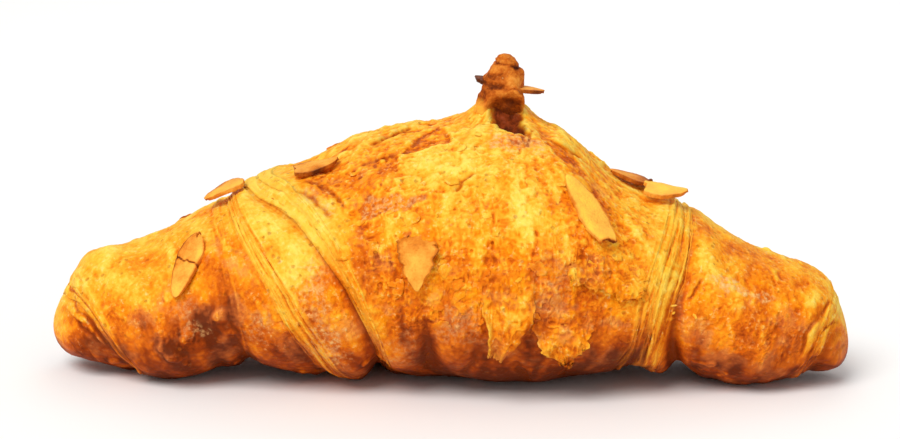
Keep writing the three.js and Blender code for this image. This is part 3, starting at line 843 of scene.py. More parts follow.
class Recipe:
    """A material's node tree, filled from Python expressions."""

    def __init__(self, name: str) -> None:
        """Starts an empty material that reads Object coordinates.

        Args:
            name: The material's name.
        """
        self.material = bpy.data.materials.new(name)
        self.material.use_nodes = True
        self.tree = self.material.node_tree
        self.tree.nodes.clear()
        self.place = self.sock("Object", "ShaderNodeTexCoord", {})

    def node(self, kind: str, settings: Mapping[str, object],
             sockets: Mapping[Union[str, int], Value]) -> bpy.types.Node:
        """Adds a node.

        Args:
            kind: The node's type.
            settings: Its own properties, set first. stops are a ramp's places and colours.
            sockets: Values or links of its inputs.

        Returns:
            The new node.
        """
        made = self.tree.nodes.new(kind)
        for name, setting in settings.items():
            if name == "stops":
                self._set_stops(made.color_ramp, setting)
            else:
                setattr(made, name, setting)
        for key, value in sockets.items():
            if isinstance(value, Sock):
                self.tree.links.new(value.socket, made.inputs[key])
            else:
                made.inputs[key].default_value = value
        return made

    @staticmethod
    def _set_stops(ramp: bpy.types.ColorRamp, stops: Sequence[tuple[float, Sequence[float]]]) -> None:
        """Gives a colour ramp its stops.

        Args:
            ramp: The ramp.
            stops: Places from 0 to 1 with their colours, in order.
        """
        while len(ramp.elements) < len(stops):
            ramp.elements.new(1.0)
        for element, (place, colour) in zip(ramp.elements, stops):
            element.position = place
            element.color = colour

    def sock(self, output: Union[str, int], kind: str, sockets: Mapping[Union[str, int], Value],
             **settings: object) -> Sock:
        """Adds a node and takes one of its outputs."""
        return Sock(self, self.node(kind, settings, sockets).outputs[output])

    def value(self, name: str, output: str = "Fac") -> Sock:
        """Reads a value that the mesh carries at each vertex."""
        return self.sock(output, "ShaderNodeAttribute", {}, attribute_type="GEOMETRY", attribute_name=name)

    def noise(self, size: float, detail: float = 3.0, roughness: float = 0.55) -> Sock:
        """Adds noise of about 0.3 to 0.7 whose broadest cells have a size in millimetres."""
        sockets = {"Vector": self.place, "Scale": 1.0 / (size * MM), "Detail": detail, "Roughness": roughness}
        return self.sock("Fac", "ShaderNodeTexNoise", sockets)

    def cells(self, size: float, warp: float = 0.0) -> Sock:
        """Adds scattered cells.

        Args:
            size: Width of a cell in millimetres.
            warp: How far noise bends the cells, in millimetres.

        Returns:
            The distance to a cell's middle, in cells.
        """
        place = self.place
        if warp:
            sockets = {"Vector": place, "Scale": 1.0 / (1.5 * size * MM), "Detail": 2.0}
            bend = self.sock("Color", "ShaderNodeTexNoise", sockets)
            shift = self.vector("MULTIPLY", self.vector("SUBTRACT", bend, (0.5,) * 3), (warp * MM,) * 3)
            place = self.vector("ADD", place, shift)
        return self.sock("Distance", "ShaderNodeTexVoronoi", {"Vector": place, "Scale": 1.0 / (size * MM)})

    def vector(self, operation: str, first: Value, second: Value) -> Sock:
        """Adds a Vector Math node on two vectors."""
        return self.sock(0, "ShaderNodeVectorMath", {0: first, 1: second}, operation=operation)

    def streaks(self, width: float, reach: float, detail: float = 3.0) -> Sock:
        """Adds noise drawn out along the dough, in streaks of a width in millimetres, with so many round the roll."""
        drawn = self.vector("MULTIPLY", self.value("lane", "Vector"), (1.0 / width, reach, reach))
        return self.sock("Fac", "ShaderNodeTexNoise", {"Vector": drawn, "Scale": 1.0, "Detail": detail})

    def ramp(self, factor: Sock, stops: Sequence[tuple[float, Sequence[float]]]) -> Sock:
        """Runs a value through a colour ramp."""
        return self.sock("Color", "ShaderNodeValToRGB", {"Fac": factor}, stops=stops)

    def blend(self, factor: Value, first: Value, second: Value) -> Sock:
        """Mixes two colours, with the factor as the second one's share."""
        return self.sock(2, "ShaderNodeMix", {0: factor, 6: first, 7: second}, data_type="RGBA")

    def bump(self, height: Sock, distance: float) -> Sock:
        """Turns a height, of so many millimetres where it is 1, into a normal."""
        sockets = {"Strength": 1.0, "Distance": distance * MM, "Height": height}
        return self.sock("Normal", "ShaderNodeBump", sockets)

    def finish(self, **sockets: Value) -> bpy.types.Material:
        """Ends the tree in a Principled shader.

        Args:
            sockets: The shader's inputs, with underscores for the spaces in their names.

        Returns:
            The material.
        """
        named = {name.replace("_", " "): value for name, value in sockets.items()}
        shader = self.sock("BSDF", "ShaderNodeBsdfPrincipled", named)
        self.node("ShaderNodeOutputMaterial", {}, {"Surface": shader})
        return self.material


@dataclass(frozen=True)
class CrustFinish:
    """Egg-glazed crust: pale leaves, golden crown, amber clouds, dull worn dough, a foot browned and darkened by
    painted shade, painted shade in gaps and hollows, and painted glints.
    """

    butter: tuple = srgb(255, 194, 62)
    crisp: tuple = srgb(228, 134, 40)
    # Pale of worn dough, also used to paint pale highlights.
    dust_and_glint: tuple = srgb(245, 184, 114)
    # Painted glint on the granules.
    glint_highlight: tuple = srgb(255, 226, 146)
    # Painted shade in gaps, grooves, creases and hollows.
    gap_shade: tuple = srgb(150, 62, 8)
    pore: tuple = srgb(176, 82, 12)
    # Dark filling in the hollow under the paste, with painted shade.
    shaded_filling: tuple = srgb(140, 58, 20)
    # Darker painted shade in that hollow.
    recess_shade: tuple = srgb(78, 28, 10)
    glazed: tuple = ramp_stops(
        (0.0, 255, 218, 94), (0.18, 255, 198, 66), (0.36, 254, 168, 38), (0.52, 244, 134, 22),
        (0.68, 208, 98, 15), (0.84, 158, 62, 8), (1.0, 108, 40, 6),
    )
    amber: tuple = ramp_stops(
        (0.0, 255, 194, 34), (0.36, 255, 148, 5), (0.68, 214, 92, 4), (1.0, 110, 38, 5),
    )
    dull: tuple = ramp_stops(
        (0.0, 250, 212, 136), (0.36, 236, 164, 92), (0.68, 192, 108, 58), (1.0, 112, 54, 30),
    )

    def material(self) -> bpy.types.Material:
        """Builds the crust's material.

        Returns:
            The material.
        """
        r = Recipe("baked_crust")
        bake = r.value("bake")
        leaf = r.value("leaf")
        bare = r.value("bare")
        shade = r.value("shade")
        cloud = r.noise(9.0, 3.0)
        mottle = r.noise(2.1, 5.0, 0.66)
        grain = r.noise(0.9, 4.0, 0.7)
        strand = r.streaks(0.8, 1.6)
        granule = r.cells(1.3, warp=0.7)
        pores = r.cells(2.3)
        calm = 1.0 - bake.eased(0.48, 0.78) * 0.75
        tone = bake + (cloud - 0.5) * 0.46 - (r.streaks(4.0, 2.6, 0.0) - 0.5) * 0.46
        tone = tone - ((mottle - 0.5) * 0.44 + (grain - 0.5) * 0.36) * calm
        drawn = (0.18 + 0.4 * leaf) * (1.0 - bake.eased(0.5, 0.8) * 0.7)
        tone = tone - (strand - 0.5) * drawn + (granule - 0.45) * 0.16
        colour = r.ramp(tone, self.glazed)
        amber = r.noise(5.2, 3.0).eased(0.5, 0.58) * 0.5 + bake.eased(0.32, 0.46) * 0.5
        amber = amber * (1.0 - bake.eased(0.5, 0.75)) * 0.9
        colour = r.blend(amber, colour, r.ramp(tone, self.amber))
        dull = r.noise(6.4, 3.0).eased(0.5, 0.6) * bake.eased(0.3, 0.65) * 0.48
        dull = dull + bare * grain.eased(0.38, 0.6) * 0.8
        colour = r.blend(dull, colour, r.ramp(tone, self.dull))
        # Pale worn dough, and painted pale highlights on the right lobe.
        colour = r.blend(bare.eased(0.35, 1.0) * grain.eased(0.45, 0.64) * 0.55, colour, self.dust_and_glint)
        # Painted glints on the granules, fewer where the crust is darker.
        glint_highlights = grain.eased(0.53, 0.7) * mottle.eased(0.42, 0.6) * (1.0 - bake.eased(0.45, 0.8) * 0.9)
        colour = r.blend(glint_highlights * 0.45, colour, self.glint_highlight)
        pinholes = (1.0 - pores.eased(0.1, 0.28)) * mottle.eased(0.45, 0.56) * (1.0 - bare)
        colour = r.blend(pinholes * 0.5, colour, self.pore)
        leaves = r.blend(bake.eased(0.42, 0.75), self.butter, self.crisp)
        colour = r.blend(leaf * strand.eased(0.36, 0.58) * 0.75, colour, leaves)
        # Painted shade in the gaps between leaves, in grooves, creases and torn edges, and in the hollows of the
        # relief.
        colour = r.blend(shade * 0.62, colour, self.gap_shade)
        # Dark filling and painted shade in the hollow under the paste.
        hollow = (r.value("dark") + (mottle - 0.5) * 0.4).eased(0.1, 0.85)
        colour = r.blend(hollow, colour, r.blend(mottle.eased(0.36, 0.62), self.recess_shade, self.shaded_filling))
        height = (grain * 0.7 + mottle - granule * 0.4) * calm - pinholes * 0.4 + strand * (0.1 + 0.5 * leaf)
        return r.finish(
            Base_Color=colour,
            Roughness=0.5 + (mottle - 0.5) * 0.4 + dull * 0.18 + leaf * 0.08,
            Specular_IOR_Level=0.05,
            Coat_Weight=(1.0 - dull) * mottle.eased(0.5, 0.6) * grain.eased(0.5, 0.6) * calm * 0.26,
            Coat_Roughness=0.3,
            Normal=r.bump(height, 0.5),
        )


@dataclass(frozen=True)
class PasteFinish:
    """Toasted almond paste: crumbly, orange brown outside, with painted shade in its hollows, folds and seams, glazed
    at its foot.
    """

    glaze: tuple = srgb(246, 172, 56)
    pale: tuple = srgb(240, 186, 112)
    stops: tuple = ramp_stops(
        (0.0, 240, 168, 76), (0.3, 220, 130, 44), (0.52, 190, 94, 24), (0.72, 136, 60, 14), (1.0, 70, 26, 12),
    )

    def material(self) -> bpy.types.Material:
        """Builds the paste's material.

        Returns:
            The material.
        """
        r = Recipe("toasted_paste")
        mottle = r.noise(1.8, 4.0)
        grain = r.noise(0.5, 3.0)
        specks = 1.0 - r.cells(0.9).eased(0.12, 0.3)
        # depth paints shade in the hollow, the folds and the seams.
        tone = 0.4 + (mottle - 0.5) * 0.7 + (grain - 0.5) * 0.5 + r.value("depth") * 0.6
        colour = r.ramp(tone, self.stops)
        specks = specks * (1.0 - r.value("depth").eased(0.2, 0.5))
        colour = r.blend(specks * grain.eased(0.5, 0.62) * 0.5, colour, self.pale)
        colour = r.blend((r.value("collar") + (mottle - 0.5) * 0.6).eased(0.3, 0.7), colour, self.glaze)
        return r.finish(
            Base_Color=colour,
            Roughness=0.6 + (grain - 0.5) * 0.3,
            Specular_IOR_Level=0.05,
            Normal=r.bump(grain * 0.6 + mottle, 0.4),
        )


@dataclass(frozen=True)
class AlmondFinish:
    """Toasted almond slice: cream flesh, browned towards its rim, dark skin along the cut."""

    stops: tuple = ramp_stops(
        (0.0, 255, 206, 72), (0.3, 248, 178, 68), (0.55, 224, 130, 36), (0.8, 156, 76, 18), (1.0, 92, 42, 14),
    )

    def material(self) -> bpy.types.Material:
        """Builds the slices' material.

        Returns:
            The material.
        """
        r = Recipe("almond_flesh")
        toast = r.value("toast")
        mottle = r.noise(2.4, 4.0)
        fibre = r.noise(0.45, 3.0)
        tone = toast + (mottle - 0.5) * 0.4 + (fibre - 0.5) * 0.26
        return r.finish(
            Base_Color=r.ramp(tone, self.stops),
            Roughness=0.5 + (mottle - 0.5) * 0.3,
            Specular_IOR_Level=0.08,
            Normal=r.bump(fibre * 0.5 + mottle * 0.8, 0.45),
        )


@dataclass(frozen=True)
class FloorFinish:
    """Plain pale studio floor."""

    tone: tuple = srgb(248, 247, 245)
    grain: tuple = srgb(236, 234, 230)

    def material(self) -> bpy.types.Material:
        """Builds the floor's material.

        Returns:
            The material.
        """
        r = Recipe("studio_floor")
        grain = r.noise(40.0, 2.0)
        colour = r.blend(grain * 0.04, self.tone, self.grain)
        return r.finish(Base_Color=colour, Roughness=0.7, Specular_IOR_Level=0.2)


def add_object(name: str, data: bpy.types.ID) -> bpy.types.Object:
    """Puts a mesh, lamp or camera in the scene.

    Args:
        name: The object's name.
        data: What it shows.

    Returns:
        The object.
    """
    made = bpy.data.objects.new(name, data)
    bpy.context.scene.collection.objects.link(made)
    return made


def new_piece(mesh: bpy.types.Mesh, material: bpy.types.Material, nodes: Sequence[str] = (),
              thick: float = 0.0) -> bpy.types.Object:
    """Puts a finished mesh in the scene as a piece of the croissant, under the mesh's name.

    Args:
        mesh: Its mesh, in place.
        material: Its finish.
        nodes: Names of the solids that it stands for.
        thick: Thickness that a sheet gets, in millimetres.

    Returns:
        The piece.
    """
    piece = add_object(mesh.name, mesh)
    mesh.materials.clear()
    mesh.materials.append(material)
    mesh.shade_smooth()
    if thick:
        wall = piece.modifiers.new("thickness", "SOLIDIFY")
        wall.thickness = thick * MM
        wall.offset = -1.0
    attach(piece, BODY)
    if nodes:
        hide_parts(*nodes)
    return piece


def mesh_from(name: str, shape: bmesh.types.BMesh) -> bpy.types.Mesh:
    """Turns a finished bmesh into a mesh and frees it.

    Args:
        name: The mesh's name.
        shape: The bmesh.

    Returns:
        The mesh.
    """
    mesh = bpy.data.meshes.new(name)
    shape.to_mesh(mesh)
    shape.free()
    return mesh


def grid_mesh(name: str, along: int, across: int, size: float = 0.5, count: int = 1) -> bpy.types.Mesh:
    """Makes a mesh of flat square grids, all in one place.

    Args:
        name: The mesh's name.
        along: Faces along x.
        across: Faces along y.
        size: Half the width of a grid.
        count: How many grids.

    Returns:
        The mesh.
    """
    shape = bmesh.new()
    for _ in range(count):
        bmesh.ops.create_grid(shape, x_segments=along, y_segments=across, size=size)
    return mesh_from(name, shape)


def per_corner(mesh: bpy.types.Mesh, name: str = "co") -> np.ndarray:
    """Reads a vector of each of a mesh's vertices.

    Args:
        mesh: The mesh.
        name: co for places or normal for normals.

    Returns:
        Rows of x, y and z.
    """
    flat = np.empty(len(mesh.vertices) * 3)
    mesh.vertices.foreach_get(name, flat)
    return flat.reshape(-1, 3)


def move_corners(mesh: bpy.types.Mesh, points: np.ndarray) -> None:
    """Moves a mesh's vertices to new points in metres."""
    mesh.vertices.foreach_set("co", points.astype(np.float32).ravel())
    mesh.update()


def write_values(mesh: bpy.types.Mesh, **values: Union[float, np.ndarray]) -> None:
    """Stores values at a mesh's vertices for its finish to read.

    Args:
        mesh: The mesh.
        values: One number for all vertices, one for each, or one vector for each.
    """
    count = len(mesh.vertices)
    for name, numbers in values.items():
        numbers = np.asarray(numbers, np.float32)
        if numbers.ndim == 2:
            mesh.attributes.new(name, "FLOAT_VECTOR", "POINT").data.foreach_set("vector", numbers.ravel())
        else:
            filled = np.ascontiguousarray(np.broadcast_to(numbers, count))
            mesh.attributes.new(name, "FLOAT", "POINT").data.foreach_set("value", filled)


@dataclass
class Crust:
    """The croissant's crust as one closed mesh whose rows follow the edges of the dough."""

    roll: Roll
    material: bpy.types.Material
    skin: "FlakySkin"
    around: int = 150
    rows: tuple[int, ...] = (14, 10, 26, 6, 6, 10, 10, 18, 80, 26, 28, 10, 14)
    sunk: float = 1.1

    def row_x(self, share: np.ndarray, low: np.ndarray) -> np.ndarray:
        """Places the rows of vertices along the roll.

        Args:
            share: Shares of all the rows, from 0 at the left end to 1 at the right.
            low: Lowness of the same places.

        Returns:
            x of each place.
        """
        stops = self.roll.lines(low)
        starts = np.concatenate([[0], np.cumsum(self.rows)])
        row = share * starts[-1]
        span = np.clip(np.searchsorted(starts, row, side="right") - 1, 0, len(self.rows) - 1)
        t = np.clip((row - starts[span]) / np.array(self.rows)[span], 0.0, 1.0)
        t = np.where(span == 0, 1.0 - np.cos(t * np.pi / 2.0), t)
        t = np.where(span == len(self.rows) - 1, np.sin(t * np.pi / 2.0), t)
        first, last = either_side(stops, span)
        return first + (last - first) * t

    def build(self) -> list[bpy.types.Object]:
        """Builds and dresses the crust.

        Returns:
            The piece, in a list.
        """
        total = sum(self.rows)
        shape = bmesh.new()
        bmesh.ops.create_uvsphere(shape, u_segments=self.around, v_segments=total, radius=1.0)
        mesh = mesh_from("crust", shape)
        unit = per_corner(mesh)
        row = np.rint(np.arccos(np.clip(unit[:, 2], -1.0, 1.0)) / np.pi * total).astype(int)
        column = np.rint(np.arctan2(unit[:, 1], unit[:, 0]) / (2.0 * np.pi) * self.around).astype(int)
        column %= self.around
        share = 1.0 - np.arange(total + 1) / total
        angle = -2.0 * np.pi * np.arange(self.around) / self.around
        share, angle = np.meshgrid(share, angle, indexing="ij")
        low = lowness(angle)
        x = self.row_x(share, low)
        level = self.roll.flow(x, low)
        skin = self.roll.skin(x, angle, -self.sunk * smooth(self.skin.inset(level, angle), 1.0, 3.0))
        move_corners(mesh, skin.point[row, column] * MM)
        write_values(mesh, **{name: grid[row, column] for name, grid in skin.values().items()})
        return [new_piece(mesh, self.material, ("croissant",))]


@dataclass
class FlakySkin:
    """The crust's outer skin: fine blocks that meet edge to edge and sink into the crust at their outer border."""

    roll: Roll
    material: bpy.types.Material
    stops: tuple[float, ...] = (-80.0, -44.3, -23.7, 8.0, 43.4, 80.5)
    rows: tuple[int, ...] = (112, 76, 124, 138, 118)
    turns: tuple[float, ...] = (-64.0, 90.0, 244.0)
    columns: tuple[int, ...] = (310, 220)
    sunk: float = 0.5
    radius: float = 25.0

    def inset(self, level: np.ndarray, angle: np.ndarray) -> np.ndarray:
        """Measures how far places lie inside the skin's border.

        Args:
            level: x at half height.
            angle: Angles round the roll in radians.

        Returns:
            Distance from the border in millimetres, below 0 outside it.
        """
        first, last = np.radians(self.turns[0]), np.radians(self.turns[-1])
        turn = (angle - (first + last) / 2.0 + np.pi) % (2.0 * np.pi) - np.pi
        round_ = ((last - first) / 2.0 - np.abs(turn)) * self.radius
        return np.minimum(round_, np.minimum(level - self.stops[0], self.stops[-1] - level))

    @staticmethod
    def over(relief: np.ndarray, reach: int) -> np.ndarray:
        """Compares the relief with its surroundings.

        Args:
            relief: Heights on the grid of rows and columns.
            reach: How many rows and columns the surroundings take in.

        Returns:
            Height over the surroundings, below 0 in hollows.
        """
        blurred = relief
        for axis in (0, 1):
            blurred = np.mean([np.roll(blurred, step, axis) for step in range(-reach, reach + 1)], axis=0)
        return relief - blurred

    @staticmethod
    def spread(stops: Sequence[float], counts: Sequence[int]) -> np.ndarray:
        """Sets out evenly spaced places between stops."""
        parts = [np.linspace(a, b, n, endpoint=False) for a, b, n in zip(stops, stops[1:], counts)]
        return np.concatenate([*parts, [stops[-1]]])

    def build(self) -> list[bpy.types.Object]:
        """Builds and dresses every block.

        Returns:
            The pieces.
        """
        level, angle = np.meshgrid(self.spread(self.stops, self.rows),
                                   np.radians(self.spread(self.turns, self.columns)), indexing="ij")
        x = self.roll.unflow(level, lowness(angle))
        lift = -self.sunk * (1.0 - smooth(self.inset(level, angle), 0.0, 1.2))
        skin = self.roll.skin(x, angle, lift, 1.0)
        # Lighter on the crests and darker in the hollows of the relief, with more shade in the hollows: painted
        # highlight and painted shade.
        fine, broad = self.over(skin.relief, 2), self.over(skin.relief, 8)
        skin.bake = skin.bake - 0.8 * np.clip(fine, -0.25, 0.25) - 0.25 * np.clip(broad, -0.5, 0.5)
        shade = skin.shade + smooth(-fine, 0.08, 0.35) * 0.5 + smooth(-broad, 0.25, 0.9) * 0.4
        skin.shade = np.clip(shade, 0.0, 1.0)
        across = np.cross(*(np.gradient(skin.point, axis=axis) for axis in (0, 1)))
        across *= np.sign(np.mean(across[..., 1] * (skin.point[..., 1] - self.roll.shift)))
        normal = across / np.linalg.norm(across, axis=-1, keepdims=True)
        blocks = np.ndindex(len(self.rows), len(self.columns))
        return [self.block(number, skin, normal) for number in blocks]

    def block(self, number: tuple[int, int], skin: Skin, normal: np.ndarray) -> bpy.types.Object:
        """Builds one block of the skin.

        Args:
            number: Which stretch along the roll, and which round it.
            skin: Points and values on the whole skin's grid.
            normal: Normals on that grid.

        Returns:
            The piece.
        """
        counts = self.rows[number[0]], self.columns[number[1]]
        starts = sum(self.rows[: number[0]]), sum(self.columns[: number[1]])
        mesh = grid_mesh(f"skin_{number[0] + 1}_{number[1] + 1}", *counts)
        unit = per_corner(mesh)
        row = starts[0] + np.rint((unit[:, 0] + 0.5) * counts[0]).astype(int)
        column = starts[1] + np.rint((unit[:, 1] + 0.5) * counts[1]).astype(int)
        move_corners(mesh, skin.point[row, column] * MM)
        write_values(mesh, **{name: grid[row, column] for name, grid in skin.values().items()})
        piece = new_piece(mesh, self.material)
        mesh.normals_split_custom_set_from_vertices(normal[row, column].tolist())
        return piece


@dataclass
class LeafEdges:
    """Thin edges of the dough's leaves, one over the other along every cut edge."""

    roll: Roll
    material: bpy.types.Material
    around: int = 240
    across: int = 6
    first: float = -64.0
    last: float = 244.0
    overhang: float = 0.25
    sunk: float = 0.4
    thick: float = 0.12

    def build(self) -> list[bpy.types.Object]:
        """Builds all the leaves as one piece.

        Returns:
            The piece, in a list.
        """
        leaves = [(edge, (k + 0.1) / edge.strips) for edge in self.roll.edges for k in range(edge.strips)]
        mesh = grid_mesh("leaf_edges", self.around, self.across, count=len(leaves))
        unit = per_corner(mesh).reshape(len(leaves), -1, 3)
        skins = [self.leaf(edge, share, grid, Seed.LEAVES + number)
                 for number, ((edge, share), grid) in enumerate(zip(leaves, unit))]
        move_corners(mesh, np.concatenate([skin.point for skin in skins]) * MM)
        names = skins[0].values()
        write_values(mesh, **{name: np.concatenate([skin.values()[name] for skin in skins]) for name in names})
        return [new_piece(mesh, self.material, thick=self.thick)]

    def leaf(self, edge: Edge, share: float, unit: np.ndarray, seed: int) -> Skin:
        """Lays one leaf's edge round the roll.

        Args:
            edge: The cut edge that it belongs to.
            share: Its place between the edge's outer and inner line.
            unit: A flat grid, with the free edge at its lowest y.
            seed: Seed of its ragged edge.

        Returns:
            The leaf's points and values.
        """
        grain = Grain(seed)
        angle = np.radians(self.first + (self.last - self.first) * (unit[:, 0] + 0.5))
        inward = unit[:, 1] + 0.5
        low = lowness(angle)
        outer, inner = edge.stack(low)
        side = np.sign(inner - outer)
        wander = 0.5 * grain.at(angle * 2.5, 0.5) + 0.16 * grain.at(angle * 19.0, 9.5)
        free = smooth(grain.at(angle * 3.0, 20.5) + 0.5 * grain.at(angle * 9.0, 30.5), -0.6, 0.5)
        x = outer + (inner - outer) * share + side * (inward * edge.reach - self.overhang + wander)
        rise = (1.0 - inward) ** 1.6
        ends = smooth(unit[:, 0], -0.5, -0.44) * smooth(-unit[:, 0], -0.5, -0.44)
        lift = -self.sunk + (edge.lift * (0.1 + 0.9 * free) + self.sunk) * rise * ends
        skin = self.roll.skin(x, angle, lift, 0.6)
        skin.point[:, 2] = np.maximum(skin.point[:, 2], 1.5 * self.thick)
        pale = edge.pale * (0.1 + 0.6 * rise * free) * (1.0 - 0.7 * low)
        skin.leaf = np.clip(0.6 * skin.leaf + pale, 0.0, 1.0)
        skin.shade = 0.5 * skin.shade * (1.0 - rise)
        return skin


@dataclass(frozen=True)
class Flake:
    """A torn flake: its left and right side from the upper to the free edge, as x and degrees."""

    left: tuple[tuple[float, float], ...]
    right: tuple[tuple[float, float], ...]
    lift: float
    ragged: float
    roll: float = 0.0
    bake: float = 0.0
    lip: float = 0.0


@dataclass
class TornFlakes:
    """Flakes of the outer leaf that lift off the crust."""

    roll: Roll
    material: bpy.types.Material
    across: int = 72
    down: int = 84
    thick: float = 0.45
    sunk: float = 0.7
    flakes: tuple[Flake, ...] = (
        Flake(((4.6, 26), (5.8, 8), (6.5, -3), (7.4, -10), (8.3, -17), (8.4, -24), (8.5, -31)),
              ((18.6, 26), (16.9, 10), (17.1, 2), (17.8, -8), (16.6, -16), (14.2, -22), (11.2, -32)),
              1.8, 0.1, 0.9, -0.28, 1),
        Flake(((17.6, 0), (16.4, -12), (17.2, -19), (19.6, -25), (22.4, -32), (24, -48)),
              ((26.6, 0), (29, -10), (29.8, -15), (28.2, -21), (25.8, -27), (24.4, -48)), 1.6, 0.24, 0.5, -0.36),
        Flake(((24.8, 28), (25, 16), (24.5, 8), (24.6, 0)), ((41, 30), (40.4, 18), (39.4, 9), (38.2, 1)),
              1.4, 0.28, 0.3, -0.08),
        Flake(((-14, 168), (-12, 182), (-9, 200)), ((-2, 166), (-2, 184), (-5, 202)), 1, 0.2, 0.4, -0.1),
        Flake(((30, 148), (29, 162), (30, 174)), ((41, 146), (41.5, 160), (39, 176)), 0.9, 0.25, 0.3, -0.06),
    )

    def build(self) -> list[bpy.types.Object]:
        """Builds and dresses every flake."""
        return [self.one(number, flake) for number, flake in enumerate(self.flakes, 1)]

    def one(self, number: int, flake: Flake) -> bpy.types.Object:
        """Builds one flake on the crust.

        Args:
            number: Its number, which also seeds its ragged edge.
            flake: Its outline.

        Returns:
            The piece.
        """
        mesh = grid_mesh(f"flake_{number:02d}", self.across, self.down)
        unit = per_corner(mesh)
        grain = Grain(Seed.FLAKES + number)
        side = unit[:, 0] + 0.5
        far = 0.5 - unit[:, 1]
        teeth = grain.at(side * 3.5, 0.5) + 0.6 * grain.at(side * 11.0, 7.5) + 0.4 * grain.at(side * 29.0, 9.5)
        reach = far * (1.0 - flake.ragged * (0.5 + 0.5 * teeth) * far)
        stops = np.linspace(0.0, 1.0, len(flake.left))
        left, right = ([np.interp(reach, stops, [point[k] for point in points]) for k in (0, 1)]
                       for points in (flake.left, flake.right))
        rim = np.rint(side) * 3.0
        notch = grain.at(far * 9.0, rim + 20.5) + 0.7 * grain.at(far * 23.0, rim + 30.5)
        jitter = (0.3 + 3.0 * flake.ragged) * notch * np.abs(2.0 * side - 1.0) ** 6
        x = left[0] + (right[0] - left[0]) * side + jitter
        angle = np.radians(left[1] + (right[1] - left[1]) * side)
        edge = np.maximum(far**16, np.abs(2.0 * side - 1.0) ** 20)
        wave = 0.45 * grain.at(side * 3.0, far * 4.0 + 40.0) + 0.3 * grain.at(side * 8.0, far * 9.0 + 60.0)
        free = smooth(far, 0.25, 0.8)
        lift = -self.sunk * (1.0 - smooth(far, 0.0, 0.3)) + 0.08 + flake.lift * free + flake.roll * far**5
        lift += wave * free
        lip = flake.lip * np.exp(-((side / 0.07) ** 2)) * smooth(far, 0.35, 0.6)
        lift += lip
        skin = self.roll.skin(x, angle, lift, 1.3, 0.9)
        grit = skin.relief - self.roll.skin(x, angle, lift).relief
        move_corners(mesh, skin.point * MM)
        values = skin.values()
        # Lighter on the crests of the wave and the grit and shaded in their troughs: painted highlight and painted
        # shade.
        bake = skin.bake + flake.bake * smooth(far, 0.25, 0.7) - 0.15 * wave * free
        values["bake"] = bake - 0.7 * np.clip(grit, -0.3, 0.3)
        values["leaf"] = np.clip((0.7 * edge + 0.3 * smooth(wave, 0.1, 0.4)) * free + 0.7 * lip, 0.0, 1.0)
        shade = skin.shade * (1.0 - 0.7 * free) + 0.3 * smooth(-wave, 0.1, 0.4) * free
        values["shade"] = shade + 0.4 * smooth(-grit, 0.06, 0.3)
        values["bare"] = skin.bare * (1.0 - 0.6 * free)
        write_values(mesh, **values)
        return new_piece(mesh, self.material, thick=self.thick)


class Toast(Enum):
    """How far an almond slice is toasted."""

    LIGHT = 0.16
    GOLD = 0.33
    AMBER = 0.46
    RUSSET = 0.57
    BROWN = 0.68
    DARK = 0.92


@dataclass(frozen=True)
class Slice:
    """An almond slice: the rough way its tip points, its toast and the sizes of its shape."""

    tip: tuple[float, float, float]
    toast: Toast
    curl: float = 0.6
    cut: float = 0.0
    ragged: float = 0.06
    crack: float = 0.0
    burnt: float = 0.0
    lean: float = 0.8
    bury: float = 0.0
    sink: float = 0.0
    full: float = 0.62
    butt: float = 0.0
    point: float = 0.0


